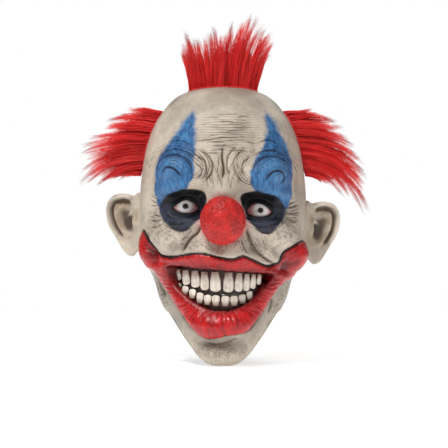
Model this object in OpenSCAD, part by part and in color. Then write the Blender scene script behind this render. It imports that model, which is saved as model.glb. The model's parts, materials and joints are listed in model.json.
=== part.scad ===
// Full-head costume mask of a grinning clown.
// A hollow cast latex skin carries a ball nose, two eye domes, two rows of teeth on gum
// plates, two ears that flex, and three tufts of hair that sway on their stitched roots.
// The face looks along -Y and +Z is up. Left and right are the wearer's own, so left is +X.
// The origin is the middle of the wearer's head, between the ears.

/* [Skin] */
// Width of the skin across the temples
head_w = 167; // [140:1:200]
// Depth of the skin from forehead to back of head
head_d = 204; // [170:1:245]
// Height of the skin from crown to chin
head_h = 272; // [227:1:326]
// Thickness of the cast latex
skin_t = 2; // [1.5:0.1:3]
// How many degrees the grin tilts down towards the wearer's left
grin_tilt = 4; // [0:0.5:6]
// How much lower the wearer's left ear and eye are set than the right
crooked = 8; // [0:0.5:10]
// Length of the slit at the nape that opens to let the head in
slit_l = 70; // [0:1:90]
// Width of that slit
slit_w = 3; // [1:0.5:6]

/* [Nose] */
// Diameter of the ball nose
nose_d = 43.5; // [36:0.5:54]
// Thickness of the ball's wall
nose_t = 2; // [1.5:0.1:4]

/* [Eyes] */
// Distance between the two pupils
eye_spacing = 72; // [60:0.5:80]
// Radius of the dome that shows in each eye
eye_r = 17; // [14:0.5:19]
// Thickness of the dome
eye_t = 1.5; // [1:0.1:2.5]
// Diameter of the sight hole in each pupil
pupil_d = 4.2; // [3:0.1:6]
// Width of the opening between the eyelids
lid_w = 25; // [20:0.5:27]
// Height of the opening between the eyelids
lid_h = 12.5; // [10:0.5:15]

/* [Mouth] */
// Radius of the arch that the teeth stand on
arch_r = 48; // [42:0.5:54]
// Half angle of the opening between the lips, seen from the arch's centre
mouth_half = 62; // [52:1:66]
// Height of the opening between the lips at its middle
mouth_h = 44; // [38:0.5:50]
// Height of a middle tooth of the upper row
tooth_h = 15; // [12:0.5:17]
// Number of teeth in each row
tooth_n = 10; // [8:2:12]
// Thickness of a tooth, front to back
tooth_t = 4; // [3:0.5:5]
// Thickness of the gum plates
gum_t = 2.5; // [2:0.1:4]
// Gap between the two gum plates that the wearer breathes through
breath_gap = 2.5; // [1.5:0.5:4]

/* [Ears] */
// Height of an ear
ear_h = 58; // [48:1:68]
// How far an ear reaches out from its root
ear_w = 32; // [26:0.5:38]
// How many degrees an ear is swept back
ear_sweep = 28; // [15:1:40]
// Thickness of an ear, front to back
ear_t = 7; // [6:0.5:9]

/* [Hair] */
// Width of the top tuft at its root
top_w = 64; // [52:1:76]
// Height of the top tuft
top_h = 62; // [55:1:82]
// Height of a side tuft at its root
side_w = 66; // [54:1:78]
// Length of a side tuft
side_l = 60; // [50:1:72]
// Half the thickness of a tuft at its root
root_r = 8; // [6:0.5:10]
// Thickness of the fabric backing that each tuft grows from
backing_t = 1.5; // [1:0.1:2.5]

/* [Hidden] */
$fn = 48;

left = 1;
right = -1;
glue_gap = 0.05;   // between pieces that are glued face to face
flex_gap = 0.6;    // between a piece that flexes and what it stands on
crown_z = 0.468 * head_h;

// Skin colours, as cast and painted
bone = [0.78, 0.74, 0.68];
red = [0.80, 0.11, 0.10];
gum_brown = [0.22, 0.10, 0.08];
ivory = [0.90, 0.87, 0.80];
white = [0.94, 0.93, 0.92];

// Stations down the head, from the crown to the neck rim. Each is
// [drop of the front, drop of the sides and back, half width, front depth, back depth],
// where a drop is a share of head_h and the rest are shares of half the width or depth.
STATIONS = [
    [0,     0,     0,     0,     0],
    [0.004, 0.004, 0.21,  0.21,  0.21],
    [0.014, 0.014, 0.39,  0.38,  0.40],
    [0.036, 0.036, 0.55,  0.53,  0.57],
    [0.074, 0.074, 0.68,  0.67,  0.71],
    [0.140, 0.140, 0.82,  0.80,  0.85],
    [0.228, 0.228, 0.92,  0.90,  0.95],
    [0.349, 0.349, 0.98,  0.96,  1.01],
    [0.460, 0.460, 0.995, 0.965, 1.03],
    [0.560, 0.560, 0.98,  0.98,  0.99],
    [0.645, 0.640, 0.91,  1.005, 0.91],
    [0.732, 0.705, 0.82,  1.01,  0.83],
    [0.820, 0.754, 0.765, 1.01,  0.78],
    [0.905, 0.794, 0.72,  0.995, 0.75],
    [0.970, 0.816, 0.685, 0.955, 0.74],
    [1.0,   0.827, 0.64,  0.84,  0.735],
    [0.990, 0.834, 0.60,  0.62,  0.735]];
LAST = len(STATIONS) - 1;

// Soft relief of the face. Each is
// [azimuth, drop share, azimuth radius, drop radius share, height in mm], mirrored left to right.
RELIEF = [
    [24, 0.335, 15, 0.070, 8],      // swollen brow over each eye
    [25, 0.450, 13, 0.045, -10],    // eye socket
    [0,  0.400, 9,  0.060, 2],      // bridge of the nose
    [36, 0.545, 15, 0.050, 8],      // cheek
    [64, 0.622, 13, 0.050, 9],      // corner of the grin
    [14, 0.615, 30, 0.028, 4],      // upper lip
    [16, 0.720, 24, 0.080, -4],     // hollow that the teeth stand in
    [9,  0.860, 20, 0.038, 6],      // lower lip
    [8,  0.960, 14, 0.035, 4]];     // chin

function clamp(t) = min(max(t, 0), 1);
function smooth(t) = let (c = clamp(t)) c * c * (3 - 2 * c);
function mix(a, b, t) = a + (b - a) * t;
function unit(v) = v / max(norm(v), 1e-9);
function height(drop) = crown_z - drop * head_h;

// A point on the smooth curve through the rows of a table, s counted in rows.
function spline(rows, s) =
    let (n = len(rows) - 1, i = min(floor(s), n - 1), t = s - i,
         p0 = rows[max(i - 1, 0)], p1 = rows[i], p2 = rows[i + 1], p3 = rows[min(i + 2, n)])
    0.5 * (2 * p1 + (p2 - p0) * t + (2 * p0 - 5 * p1 + 4 * p2 - p3) * t * t
           + (3 * p1 - p0 - 3 * p2 + p3) * t * t * t);

// The station number at a given drop share, found by halving.
function station_at(drop, lo = 0, hi = 15, n = 18) =
    n == 0 ? (lo + hi) / 2 :
    let (mid = (lo + hi) / 2)
    spline(STATIONS, mid)[0] < drop ? station_at(drop, mid, hi, n - 1) : station_at(drop, lo, mid, n - 1);

// Depth of the plain head's front, and half width of its side, at a drop share.
function front_depth(drop) = spline(STATIONS, station_at(drop))[3] * head_d / 2;
function side_x(drop, y) =
    let (st = spline(STATIONS, station_at(drop)))
    st[2] * head_w / 2 * sqrt(max(1 - pow(y / (st[4] * head_d / 2), 2), 0));

function one_bump(r, azimuth, drop, side) =
    r[4] * exp(-pow((azimuth - side * r[0]) / r[2], 2) - pow((drop - r[1]) / r[3], 2));
function relief(azimuth, drop) =
    sum([for (r = RELIEF)
            r[0] == 0 ? one_bump(r, azimuth, drop, 1)
                      : one_bump(r, azimuth, drop, left) + one_bump(r, azimuth, drop, right)]);
function sum(v) = len(v) == 0 ? 0 : v * [for (x = v) 1];

// How much of a row's front drop a point at this azimuth takes, 1 in front and 0 at the sides.
function front_share(azimuth) = smooth((78 - abs(azimuth)) / 72);

// The outside of the skin, before the flat land that the nose is glued to.
function head_point(s, azimuth) =
    let (st = spline(STATIONS, s),
         drop = mix(st[1], st[0], front_share(azimuth)),
         depth = abs(azimuth) < 90 ? st[3] : st[4],
         lift = relief(azimuth, drop))
    [(st[2] * head_w / 2 + lift) * sin(azimuth),
     -(depth * head_d / 2 + lift) * cos(azimuth),
     height(drop)];

nose_drop = 0.489;
nose_z = height(nose_drop);
nose_seat_r = 0.38 * nose_d;
nose_land_y = head_point(station_at(nose_drop), 0)[1];

// The outside of the skin, with that land.
function skin_point(s, azimuth) =
    let (p = head_point(s, azimuth),
         away = norm([p[0], p[2] - nose_z]),
         flat = azimuth > -90 && azimuth < 90 ? smooth((nose_seat_r + 12 - away) / 9) : 0)
    [p[0], mix(p[1], nose_land_y, flat), p[2]];

// The outward direction at a point of the skin.
function skin_normal(s, azimuth) =
    s < 0.01 ? [0, 0, 1] :
    unit(cross(skin_point(s, azimuth + 1) - skin_point(s, azimuth - 1),
               skin_point(max(s - 0.05, 0), azimuth) - skin_point(min(s + 0.05, LAST), azimuth)));
function lifted(s, azimuth, by) = skin_point(s, azimuth) + by * skin_normal(s, azimuth);

AZIMUTHS = [for (a = [-102:6:101]) a, for (a = [102:12:257]) a];
ROWS = [for (s = [0.5:0.5:6]) s, for (s = [6.35:0.35:15.3]) s, 15.6, LAST];

// The two triangles of a four-sided face.
function quad(a, b, c, d) = [[a, b, c], [a, c, d]];

// A closed sheet that follows the skin: a pole at the crown, then a ring for each row.
// It lies between two distances from the outside of the skin.
module cap_sheet(rows, azimuths, low, high) {
    n = len(azimuths);
    m = len(rows);
    side = 1 + n * m;
    pts = [for (by = [high, low])
              each concat([lifted(0, 0, by)], [for (s = rows) for (a = azimuths) lifted(s, a, by)])];
    function at(k, r, c) = k * side + 1 + r * n + c % n;
    faces = concat(
        [for (c = [0:n - 1]) [0, at(0, 0, c + 1), at(0, 0, c)]],
        [for (c = [0:n - 1]) [side, at(1, 0, c), at(1, 0, c + 1)]],
        [for (r = [0:m - 2]) for (c = [0:n - 1])
            each quad(at(0, r, c), at(0, r, c + 1), at(0, r + 1, c + 1), at(0, r + 1, c))],
        [for (r = [0:m - 2]) for (c = [0:n - 1])
            each quad(at(1, r, c + 1), at(1, r, c), at(1, r + 1, c), at(1, r + 1, c + 1))],
        [for (c = [0:n - 1])
            each quad(at(0, m - 1, c), at(0, m - 1, c + 1), at(1, m - 1, c + 1), at(1, m - 1, c))]);
    polyhedron(pts, faces);
}

// Everything inside the skin, closed across the neck.
module head_solid() {
    n = len(AZIMUTHS);
    m = len(ROWS);
    pts = concat([skin_point(0, 0)], [for (s = ROWS) for (a = AZIMUTHS) skin_point(s, a)],
                 [[0, 0, height(0.8)]]);
    function at(r, c) = 1 + r * n + c % n;
    polyhedron(pts, concat(
        [for (c = [0:n - 1]) [0, at(0, c + 1), at(0, c)]],
        [for (r = [0:m - 2]) for (c = [0:n - 1])
            each quad(at(r, c), at(r, c + 1), at(r + 1, c + 1), at(r + 1, c))],
        [for (c = [0:n - 1]) [at(m - 1, c), at(m - 1, c + 1), 1 + n * m]]));
}

// A closed patch of sheet over a grid of places on the skin, each [station, azimuth].
module patch_sheet(grid, low, high) {
    n = len(grid[0]);
    m = len(grid);
    side = n * m;
    pts = [for (by = [high, low]) for (row = grid) for (p = row) lifted(p[0], p[1], by)];
    function at(k, r, c) = k * side + r * n + c;
    polyhedron(pts, concat(
        [for (r = [0:m - 2]) for (c = [0:n - 2])
            each quad(at(0, r, c), at(0, r, c + 1), at(0, r + 1, c + 1), at(0, r + 1, c))],
        [for (r = [0:m - 2]) for (c = [0:n - 2])
            each quad(at(1, r, c + 1), at(1, r, c), at(1, r + 1, c), at(1, r + 1, c + 1))],
        [for (c = [0:n - 2])
            each quad(at(0, m - 1, c), at(0, m - 1, c + 1), at(1, m - 1, c + 1), at(1, m - 1, c))],
        [for (c = [0:n - 2]) each quad(at(0, 0, c + 1), at(0, 0, c), at(1, 0, c), at(1, 0, c + 1))],
        [for (r = [0:m - 2]) each quad(at(0, r, 0), at(0, r + 1, 0), at(1, r + 1, 0), at(1, r, 0))],
        [for (r = [0:m - 2])
            each quad(at(0, r + 1, n - 1), at(0, r, n - 1), at(1, r, n - 1), at(1, r + 1, n - 1))]));
}

// ---- Eyes ----
eye_drop = 0.446;
eye_z = height(eye_drop);
eye_azimuth = asin(eye_spacing / head_w);
lid_y = skin_point(station_at(eye_drop), eye_azimuth)[1];
eye_y = lid_y + skin_t + eye_r;   // centre of each dome's sphere
dome_rim_r = 0.86 * eye_r;
lid_shell_r = eye_r + skin_t;

module eye_axis(side) {
    translate([side * eye_spacing / 2, eye_y, eye_z - side * crooked / 4])
        rotate([90, 0, 0])
            children();
}

module eye_dome(side) {
    color(white)
        eye_axis(side)
            difference() {
                rotate_extrude()
                    intersection() {
                        difference() {
                            circle(r = eye_r);
                            circle(r = eye_r - eye_t);
                        }
                        square([dome_rim_r, eye_r + 1]);
                    }
                cylinder(d = pupil_d, h = eye_r + 1);
            }
}

// The eyelid behind the skin's surface, shaped to the dome that it holds.
module lid_shell(side) {
    eye_axis(side)
        intersection() {
            sphere(r = lid_shell_r);
            translate([0, 0, 0.5 * eye_r])
                cylinder(r = dome_rim_r + 1, h = eye_r);
        }
}

module lid_opening(side) {
    corner_r = 1.5;
    eye_axis(side)
        hull() {
            cylinder(d = lid_h, h = 3 * eye_r, $fn = 32);
            for (end = [-1, 1])
                translate([end * (lid_w / 2 - corner_r), 0, 0])
                    cylinder(r = corner_r, h = 3 * eye_r, $fn = 16);
        }
}

// ---- Mouth ----
mouth_top = height(0.646);
mouth_low = mouth_top - mouth_h;
lip_t = 6;        // from the front of the lips to the front of the teeth
upper_gum_show = 10;   // height of upper gum that shows above the teeth
arch_y = -front_depth(0.73) + lip_t + arch_r;   // centre of the arch
bite_z = mouth_top - upper_gum_show - tooth_h - breath_gap / 2;
tooth_pitch = 2 * (mouth_half - 2) / tooth_n;

// Height of the opening's upper and lower edge at an angle round the arch.
lip_fall = 7;     // how much lower the upper edge is at the corners than in the middle
corner_open = 4;  // height of the opening that is left at its corners
function lip_top(a) = mouth_top - lip_fall * pow(a / mouth_half, 2);
function lip_low(a) = mix(mouth_low, lip_top(a) - corner_open, pow(abs(a) / mouth_half, 2.2));

// Tilts everything in the mouth about the middle of the bite.
module grin() {
    translate([0, 0, bite_z])
        rotate([0, grin_tilt, 0])
            translate([0, 0, -bite_z])
                children();
}

// A thin upright bar that reaches through the lips at an angle round the arch.
module mouth_bar(a, grow) {
    half = 0.5 + grow;
    past_lips = 26;
    past_teeth = grow > 0 ? 0 : 8;
    translate([0, arch_y, 0])
        rotate([0, 0, a])
            translate([-half, -arch_r - past_lips, lip_low(a) - grow])
                cube([2 * half, past_lips + tooth_t + past_teeth, lip_top(a) - lip_low(a) + 2 * grow]);
}

// The opening between the lips, or with grow the wall of skin around it.
module mouth_opening(grow = 0) {
    steps = 10;
    for (i = [0:steps - 1])
        hull() {
            mouth_bar(mix(-mouth_half, mouth_half, i / steps), grow);
            mouth_bar(mix(-mouth_half, mouth_half, (i + 1) / steps), grow);
        }
}

// A band of the arch between two radii and two heights.
module arch_band(inner, outer, low, high, half_angle) {
    translate([0, arch_y, low])
        rotate([0, 0, -90 - half_angle])
            rotate_extrude(angle = 2 * half_angle, $fn = 96)
                translate([inner, 0])
                    square([outer - inner, high - low]);
}

gum_face = arch_r - tooth_t;
gum_half = mouth_half + 4;
gum_edge = 3;   // how far the gum plates reach past the opening
lower_tooth_h = 0.66 * tooth_h;

module upper_gum() {
    color(gum_brown)
        grin() arch_band(gum_face - gum_t, gum_face, bite_z + breath_gap / 2, mouth_top + gum_edge, gum_half);
}

module lower_gum() {
    color(gum_brown)
        grin() arch_band(gum_face - gum_t, gum_face, mouth_low - gum_edge, bite_z - breath_gap / 2, gum_half);
}

// One tooth, its neck at z = 0 and its edge at z = -h, standing out along -Y.
// The strip behind it joins it to its neighbours.
module tooth(w, h, pitch_w) {
    strip_t = 1;
    hull() {
        translate([0, -tooth_t * 0.25, -w * 0.35])
            rotate([90, 0, 0])
                cylinder(d = w * 0.72, h = tooth_t * 0.45, $fn = 14);
        translate([-w * 0.46, -tooth_t * 0.8, -h])
            cube([w * 0.92, tooth_t * 0.8, h * 0.35]);
        translate([-w * 0.4, -tooth_t, -h * 0.85])
            cube([w * 0.8, tooth_t, h * 0.45]);
    }
    translate([-pitch_w * 0.54, -strip_t - 0.5, -h * 0.7])
        cube([pitch_w * 1.08, strip_t + 0.5, h * 0.55]);
}

// A row of teeth on the face of the gum plates. Each height comes from the tooth's angle.
module tooth_row(up) {
    pitch = up ? tooth_pitch : 0.86 * tooth_pitch;
    pitch_w = pitch * PI / 180 * gum_face;
    width = 0.9 * pitch_w;
    grin()
        difference() {
            for (i = [0:tooth_n - 1]) {
                a = (i - (tooth_n - 1) / 2) * pitch;
                fade = pow(a / mouth_half, 2);
                h = (up ? tooth_h : lower_tooth_h) * (1 - 0.45 * fade);
                edge = bite_z + 9 * fade;
                neck = up ? edge + breath_gap / 2 + h : edge - breath_gap / 2 - h;
                translate([0, arch_y, 0])
                    rotate([0, 0, a])
                        translate([0, -gum_face + 0.5, neck])
                            mirror([0, 0, up ? 0 : 1])
                                tooth(width, h, pitch_w);
            }
            translate([0, arch_y, mouth_low - 20])
                cylinder(r = gum_face + glue_gap, h = mouth_h + 40, $fn = 96);
        }
}

module upper_teeth() {
    color(ivory) tooth_row(true);
}

module lower_teeth() {
    color(ivory) tooth_row(false);
}

// ---- Skin ----
// Room for the eye domes and gum plates where they are glued behind the skin, for the teeth
// in front of the gum plates, and a true flat for the nose.
module glued_seats() {
    translate([0, nose_land_y, nose_z])
        rotate([90, 0, 0])
            cylinder(r = nose_seat_r + 0.5, h = 3);
    for (side = [left, right])
        eye_axis(side)
            sphere(r = eye_r + glue_gap);
    grin() {
        arch_band(gum_face - gum_t - 12, gum_face + glue_gap,
                  mouth_low - gum_edge - 4, mouth_top + gum_edge + 4, gum_half + 1);
        arch_band(gum_face - 1, arch_r + glue_gap,
                  bite_z - lower_tooth_h - breath_gap, bite_z + tooth_h + 3 + breath_gap, gum_half + 1);
    }
}

module nape_slit() {
    back = head_d / 2;
    rim_z = height(0.85);
    if (slit_l > 0)
        hull() {
            translate([-slit_w / 2, back * 0.4, rim_z - 5])
                cube([slit_w, back, 1]);
            translate([0, back * 0.4, height(0.834) + slit_l])
                rotate([-90, 0, 0])
                    cylinder(d = slit_w + 2, h = back, $fn = 24);
        }
}

module latex_skin() {
    color(bone)
        difference() {
            union() {
                cap_sheet(ROWS, AZIMUTHS, -skin_t, 0);
                intersection() {
                    head_solid();
                    union() {
                        lid_shell(left);
                        lid_shell(right);
                        grin() mouth_opening(skin_t);
                    }
                }
            }
            lid_opening(left);
            lid_opening(right);
            grin() mouth_opening();
            glued_seats();
            nape_slit();
        }
}

// ---- Nose ----
module ball_nose() {
    nose_r = nose_d / 2;
    back = sqrt(nose_r * nose_r - nose_seat_r * nose_seat_r);
    color(red)
        translate([0, nose_land_y - glue_gap - back, nose_z])
            rotate([90, 0, 0])
                rotate_extrude()
                    intersection() {
                        difference() {
                            circle(r = nose_r);
                            circle(r = nose_r - nose_t);
                        }
                        translate([0, -back]) square([nose_r, nose_r + back]);
                    }
}

// ---- Ears ----
ear_top_drop = 0.437;
ear_low_drop = ear_top_drop + 0.84 * ear_h / head_h;
ear_y = 6;          // the ears' roots stand this far behind the middle of the head

// How far the skin swells past a straight line between the root's ends, on either side.
ear_bulge = max([for (side = [left, right]) for (t = [0:0.1:1])
    side_x(mix(ear_top_drop, ear_low_drop, t) + side * crooked / 2 / head_h, ear_y)
    - mix(side_x(ear_top_drop, ear_y), side_x(ear_low_drop, ear_y), t)]);
ear_off = ear_t / 2 + flex_gap + ear_bulge;
ear_top = [side_x(ear_top_drop, ear_y) + ear_off, ear_y, height(ear_top_drop)];
ear_low = [side_x(ear_low_drop, ear_y) + ear_off, ear_y, height(ear_low_drop)];
ear_tilt = atan2(ear_top[0] - ear_low[0], ear_top[2] - ear_low[2]);

// Outlines in the ear's own plane, root at x = 0, as shares of [ear_w, ear_h].
EAR_EDGE = [
    [0, 0.02], [0.16, 0.12], [0.45, 0.175], [0.78, 0.13], [0.97, -0.03], [0.99, -0.22],
    [0.86, -0.42], [0.66, -0.58], [0.55, -0.74], [0.42, -0.89], [0.2, -0.93], [0, -0.84]];
EAR_BOWL = [
    [0.16, -0.02], [0.42, 0.07], [0.68, 0.05], [0.82, -0.06], [0.83, -0.2],
    [0.72, -0.36], [0.54, -0.5], [0.4, -0.64], [0.2, -0.62], [0.14, -0.34]];
EAR_FOLD = [
    [0.66, -0.02], [0.72, -0.18], [0.6, -0.34], [0.44, -0.46],
    [0.4, -0.43], [0.52, -0.3], [0.56, -0.16], [0.48, 0.0]];

// A smooth loop through the rows of a table.
function loop(rows, steps) =
    let (n = len(rows), open = concat([rows[n - 1]], rows, [rows[0], rows[1]]))
    [for (i = [0:n - 1]) for (k = [0:steps - 1]) spline(open, i + 1 + k / steps)];

module ear_shape(rows, steps) {
    scale([ear_w, ear_h])
        polygon(loop(rows, steps));
}

module ear(side) {
    floor_t = 0.3 * ear_t;
    fold_t = 0.75 * ear_t;
    color(bone)
        mirror([side == left ? 0 : 1, 0, 0])
            translate(ear_top - [0, 0, side * crooked / 2])
                rotate([0, ear_tilt, 0])
                    rotate([90, 0, ear_sweep])
                        union() {
                            difference() {
                                translate([0, 0, -ear_t / 2])
                                    linear_extrude(ear_t)
                                        intersection() {
                                            ear_shape(EAR_EDGE, 5);
                                            translate([0, -ear_h]) square([2 * ear_w, 2 * ear_h]);
                                        }
                                translate([0, 0, floor_t - ear_t / 2])
                                    linear_extrude(ear_t) ear_shape(EAR_BOWL, 4);
                            }
                            translate([0, 0, -ear_t / 2])
                                linear_extrude(fold_t) ear_shape(EAR_FOLD, 3);
                            translate([0, -ear_h * 0.84, 0])
                                rotate([-90, 0, 0])
                                    cylinder(d = ear_t, h = ear_h * 0.85);
                        }
}

// ---- Hair ----
// A tuft in its own frame: its root is a rounded bar along the X axis and the hair grows
// along +Z. spread is how many degrees the strands at each end fan out, and droop is how
// far the tips hang towards +X.
module tuft(w, h, spread, droop) {
    around = 28;
    base_angles = [-80, -50, -20];
    shares = [0, 0.12, 0.28, 0.45, 0.62, 0.78, 0.9, 0.97, 1];
    // across is -1 to 1 along the root, through is -1 to 1 from back to front
    function strand(across, through, t, thick) =
        let (fan = spread * across, reach = h * t * (1 - 0.16 * across * across))
        [across * w / 2 + reach * sin(fan) + droop * t * t, through * thick,
         reach * cos(fan) - 0.22 * droop * t * t];
    function thickness(t) = root_r * (1 + 1.1 * sin(180 * min(t * 1.1, 1))) * sqrt(max(1 - pow(t, 6), 0.02));
    rings = concat(
        [for (b = base_angles) [for (k = [0:around - 1]) let (a = 360 * k / around)
            [cos(a) * (w / 2 - root_r * (1 - cos(b))), sin(a) * root_r * cos(b), root_r * sin(b)]]],
        [for (t = shares) [for (k = [0:around - 1]) let (a = 360 * k / around)
            strand(cos(a), sin(a), t, thickness(t))]]);
    m = len(rings);
    last = (m - 1) * around;
    // the two ends are closed by strips that join the front of the ring to its back
    strips = [for (k = [1:around / 2 - 2]) [k, k + 1, around - k - 1, around - k]];
    faces = concat(
        [for (r = [0:m - 2]) for (k = [0:around - 1]) let (n = (k + 1) % around)
            each quad(r * around + k, (r + 1) * around + k, (r + 1) * around + n, r * around + n)],
        [[0, 1, around - 1], [around / 2, around / 2 + 1, around / 2 - 1]],
        [for (q = strips) each quad(q[0], q[1], q[2], q[3])],
        [[last, last + around - 1, last + 1],
         [last + around / 2, last + around / 2 - 1, last + around / 2 + 1]],
        [for (q = strips) each quad(last + q[3], last + q[2], last + q[1], last + q[0])]);
    polyhedron([for (ring = rings) each ring], faces);
}

hair_off = backing_t + flex_gap + root_r;   // from the skin to the line a tuft sways about

top_y = 2;
top_root_z = crown_z + hair_off;

side_root_y = 12;
side_top_drop = 0.09;
side_low_drop = side_top_drop + 0.92 * side_w / head_h;
side_top_x = side_x(side_top_drop, side_root_y);
side_low_x = side_x(side_low_drop, side_root_y);
side_lean = atan2(side_low_x - side_top_x, (side_low_drop - side_top_drop) * head_h);
side_mid_drop = (side_top_drop + side_low_drop) / 2;
side_mid_x = side_x(side_mid_drop, side_root_y);

// Stands a side tuft's frame on the head: X down along the head, Z outwards.
module on_side(side) {
    mirror([side == left ? 0 : 1, 0, 0])
        translate([side_mid_x, side_root_y, height(side_mid_drop)])
            rotate([0, 90 - side_lean, 0])
                translate([0, 0, hair_off])
                    children();
}

// The place on the crown above a point of the plan, found by halving.
function crown_station(x, y, lo = 0.1, hi = 7, n = 18) =
    n == 0 ? (lo + hi) / 2 :
    let (mid = (lo + hi) / 2, st = spline(STATIONS, mid))
    norm([x / (st[2] * head_w), y / ((y < 0 ? st[3] : st[4]) * head_d)]) > 0.5
        ? crown_station(x, y, mid, hi, n - 1) : crown_station(x, y, lo, mid, n - 1);

module top_tuft_backing() {
    half_w = 0.54 * top_w;
    half_d = root_r + 5;
    grid = [for (j = [0:6]) let (v = 1 - j / 3)
        [for (i = [0:14]) let (u = i / 7 - 1, x = u * half_w, y = top_y + v * half_d * sqrt(1 - 0.7 * u * u))
            [crown_station(x, y), atan2(x, -y)]]];
    color(red)
        patch_sheet(grid, glue_gap, backing_t);
}

module top_tuft_hair() {
    color(red)
        translate([0, top_y, top_root_z])
            tuft(top_w, top_h, 16, 0);
}

module side_tuft_backing(side) {
    half_span = 12;
    middle = 98;
    grid = [for (i = [0:10]) let (t = i / 5 - 1)
        [for (j = [-3:3]) [mix(station_at(side_top_drop), station_at(side_low_drop), i / 10),
                           side * middle + half_span * j / 3 * sqrt(1 - 0.7 * t * t)]]];
    color(red)
        patch_sheet(grid, glue_gap, backing_t);
}

module side_tuft_hair(side) {
    color(red)
        on_side(side)
            tuft(side_w, side_l, 6, 36);
}

latex_skin();
ball_nose();
eye_dome(left);  // eye_dome_left
eye_dome(right);  // eye_dome_right
upper_gum();
upper_teeth();
lower_gum();
lower_teeth();
ear(left);  // ear_left
ear(right);  // ear_right
top_tuft_backing();
top_tuft_hair();
side_tuft_backing(left);  // left_tuft_backing
side_tuft_hair(left);  // left_tuft_hair
side_tuft_backing(right);  // right_tuft_backing
side_tuft_hair(right);  // right_tuft_hair
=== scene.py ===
"""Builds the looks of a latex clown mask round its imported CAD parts.

Left and right are the wearer's own: left is +X, the face looks along -Y and +Z is up.
The skin's shape is worked out in millimetres and turned into metres as each mesh is made.
"""

import json
import math

import bpy
import numpy as np
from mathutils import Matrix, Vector

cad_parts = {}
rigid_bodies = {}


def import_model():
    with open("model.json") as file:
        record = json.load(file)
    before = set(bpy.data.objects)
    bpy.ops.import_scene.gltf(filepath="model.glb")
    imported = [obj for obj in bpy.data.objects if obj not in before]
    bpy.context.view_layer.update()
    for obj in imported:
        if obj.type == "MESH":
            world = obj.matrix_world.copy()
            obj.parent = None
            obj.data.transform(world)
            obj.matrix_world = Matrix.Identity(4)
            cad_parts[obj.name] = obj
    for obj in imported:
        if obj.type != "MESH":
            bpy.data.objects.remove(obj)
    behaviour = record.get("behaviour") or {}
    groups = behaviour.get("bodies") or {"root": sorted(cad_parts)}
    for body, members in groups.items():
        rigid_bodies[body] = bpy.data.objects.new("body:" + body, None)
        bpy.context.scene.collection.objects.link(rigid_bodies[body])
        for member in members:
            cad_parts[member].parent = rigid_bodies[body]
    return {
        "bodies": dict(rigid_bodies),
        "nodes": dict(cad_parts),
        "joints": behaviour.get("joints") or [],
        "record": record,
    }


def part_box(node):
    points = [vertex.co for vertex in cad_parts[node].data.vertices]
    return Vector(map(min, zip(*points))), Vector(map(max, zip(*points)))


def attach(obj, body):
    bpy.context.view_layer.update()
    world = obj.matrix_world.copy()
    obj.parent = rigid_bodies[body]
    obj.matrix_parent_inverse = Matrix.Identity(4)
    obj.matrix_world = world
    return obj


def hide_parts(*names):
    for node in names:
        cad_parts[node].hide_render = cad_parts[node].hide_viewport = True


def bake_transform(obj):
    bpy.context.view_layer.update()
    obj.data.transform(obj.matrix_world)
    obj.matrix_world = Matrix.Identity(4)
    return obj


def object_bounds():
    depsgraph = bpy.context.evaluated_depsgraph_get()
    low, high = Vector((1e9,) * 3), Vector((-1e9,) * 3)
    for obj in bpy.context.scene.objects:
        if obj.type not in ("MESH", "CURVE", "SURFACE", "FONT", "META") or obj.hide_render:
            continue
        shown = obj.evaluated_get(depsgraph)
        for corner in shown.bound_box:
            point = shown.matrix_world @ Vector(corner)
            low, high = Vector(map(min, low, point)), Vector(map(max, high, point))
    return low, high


bl_info = {
    "name": "Latex Clown Mask",
    "version": (1, 0, 0),
    "blender": (4, 5, 0),
    "location": "View3D > Sidebar > Mask",
    "description": "Builds a painted latex clown mask with hair, nose, eyes and teeth",
    "category": "Add Mesh",
}

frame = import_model()
CAD_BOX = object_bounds()
JOINTS = {joint["name"]: joint for joint in frame["joints"]}


# ---- Small maths ----

def smooth(t):
    """Eases from 0 to 1 as t goes from 0 to 1."""
    t = np.clip(t, 0, 1)
    return t * t * (3 - 2 * t)


def mix(a, b, t):
    return a + (b - a) * t


def unit(v):
    return v / np.maximum(np.linalg.norm(v, axis=-1, keepdims=True), 1e-9)


def curve_rows(rows, s):
    """Points on the smooth curve through the rows of a table, s counted in rows."""
    last = len(rows) - 1
    s = np.asarray(s, float)
    i = np.minimum(np.floor(s).astype(int), last - 1)
    t = (s - i)[..., None]
    before, a = rows[np.maximum(i - 1, 0)], rows[i]
    b, after = rows[i + 1], rows[np.minimum(i + 2, last)]
    return 0.5 * (2 * a + (b - before) * t + (2 * before - 5 * a + 4 * b - after) * t * t
                  + (3 * a - before - 3 * b + after) * t ** 3)


def smooth_line(points, steps=6):
    """An open line that runs smoothly through a few points."""
    rows = np.array(points, float)
    return curve_rows(rows, np.linspace(0, len(rows) - 1, steps * (len(rows) - 1) + 1))


def smooth_loop(points, steps=6):
    """A closed line that runs smoothly through a few points."""
    rows = np.array(points, float)
    rows = np.concatenate([rows[-1:], rows, rows[:2]])
    count = len(points)
    return curve_rows(rows, 1 + np.linspace(0, count, steps * count, endpoint=False))


def lattice(i, seed):
    """Random values from 0 to 1, one for each whole-numbered place."""
    h = (i[..., 0] * 374761393 + i[..., 1] * 668265263 + i[..., 2] * 1274126177 + seed * 974711) & 0xFFFFFFFF
    h = ((h ^ (h >> 13)) * 1103515245) & 0xFFFFFFFF
    h = ((h ^ (h >> 16)) * 69069) & 0xFFFFFFFF
    return (h & 0xFFFFFF) / 0xFFFFFF


def noise(p, size, seed=0):
    """Smooth noise from -1 to 1 whose lumps are about size across."""
    q = p / size + seed * 7.13
    i = np.floor(q).astype(np.int64)
    f = q - i
    f = f * f * (3 - 2 * f)
    total = 0
    for corner in np.ndindex(2, 2, 2):
        weight = np.prod(np.where(np.array(corner), f, 1 - f), axis=-1)
        total = total + weight * lattice(i + np.array(corner), seed)
    return 2 * total - 1


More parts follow.
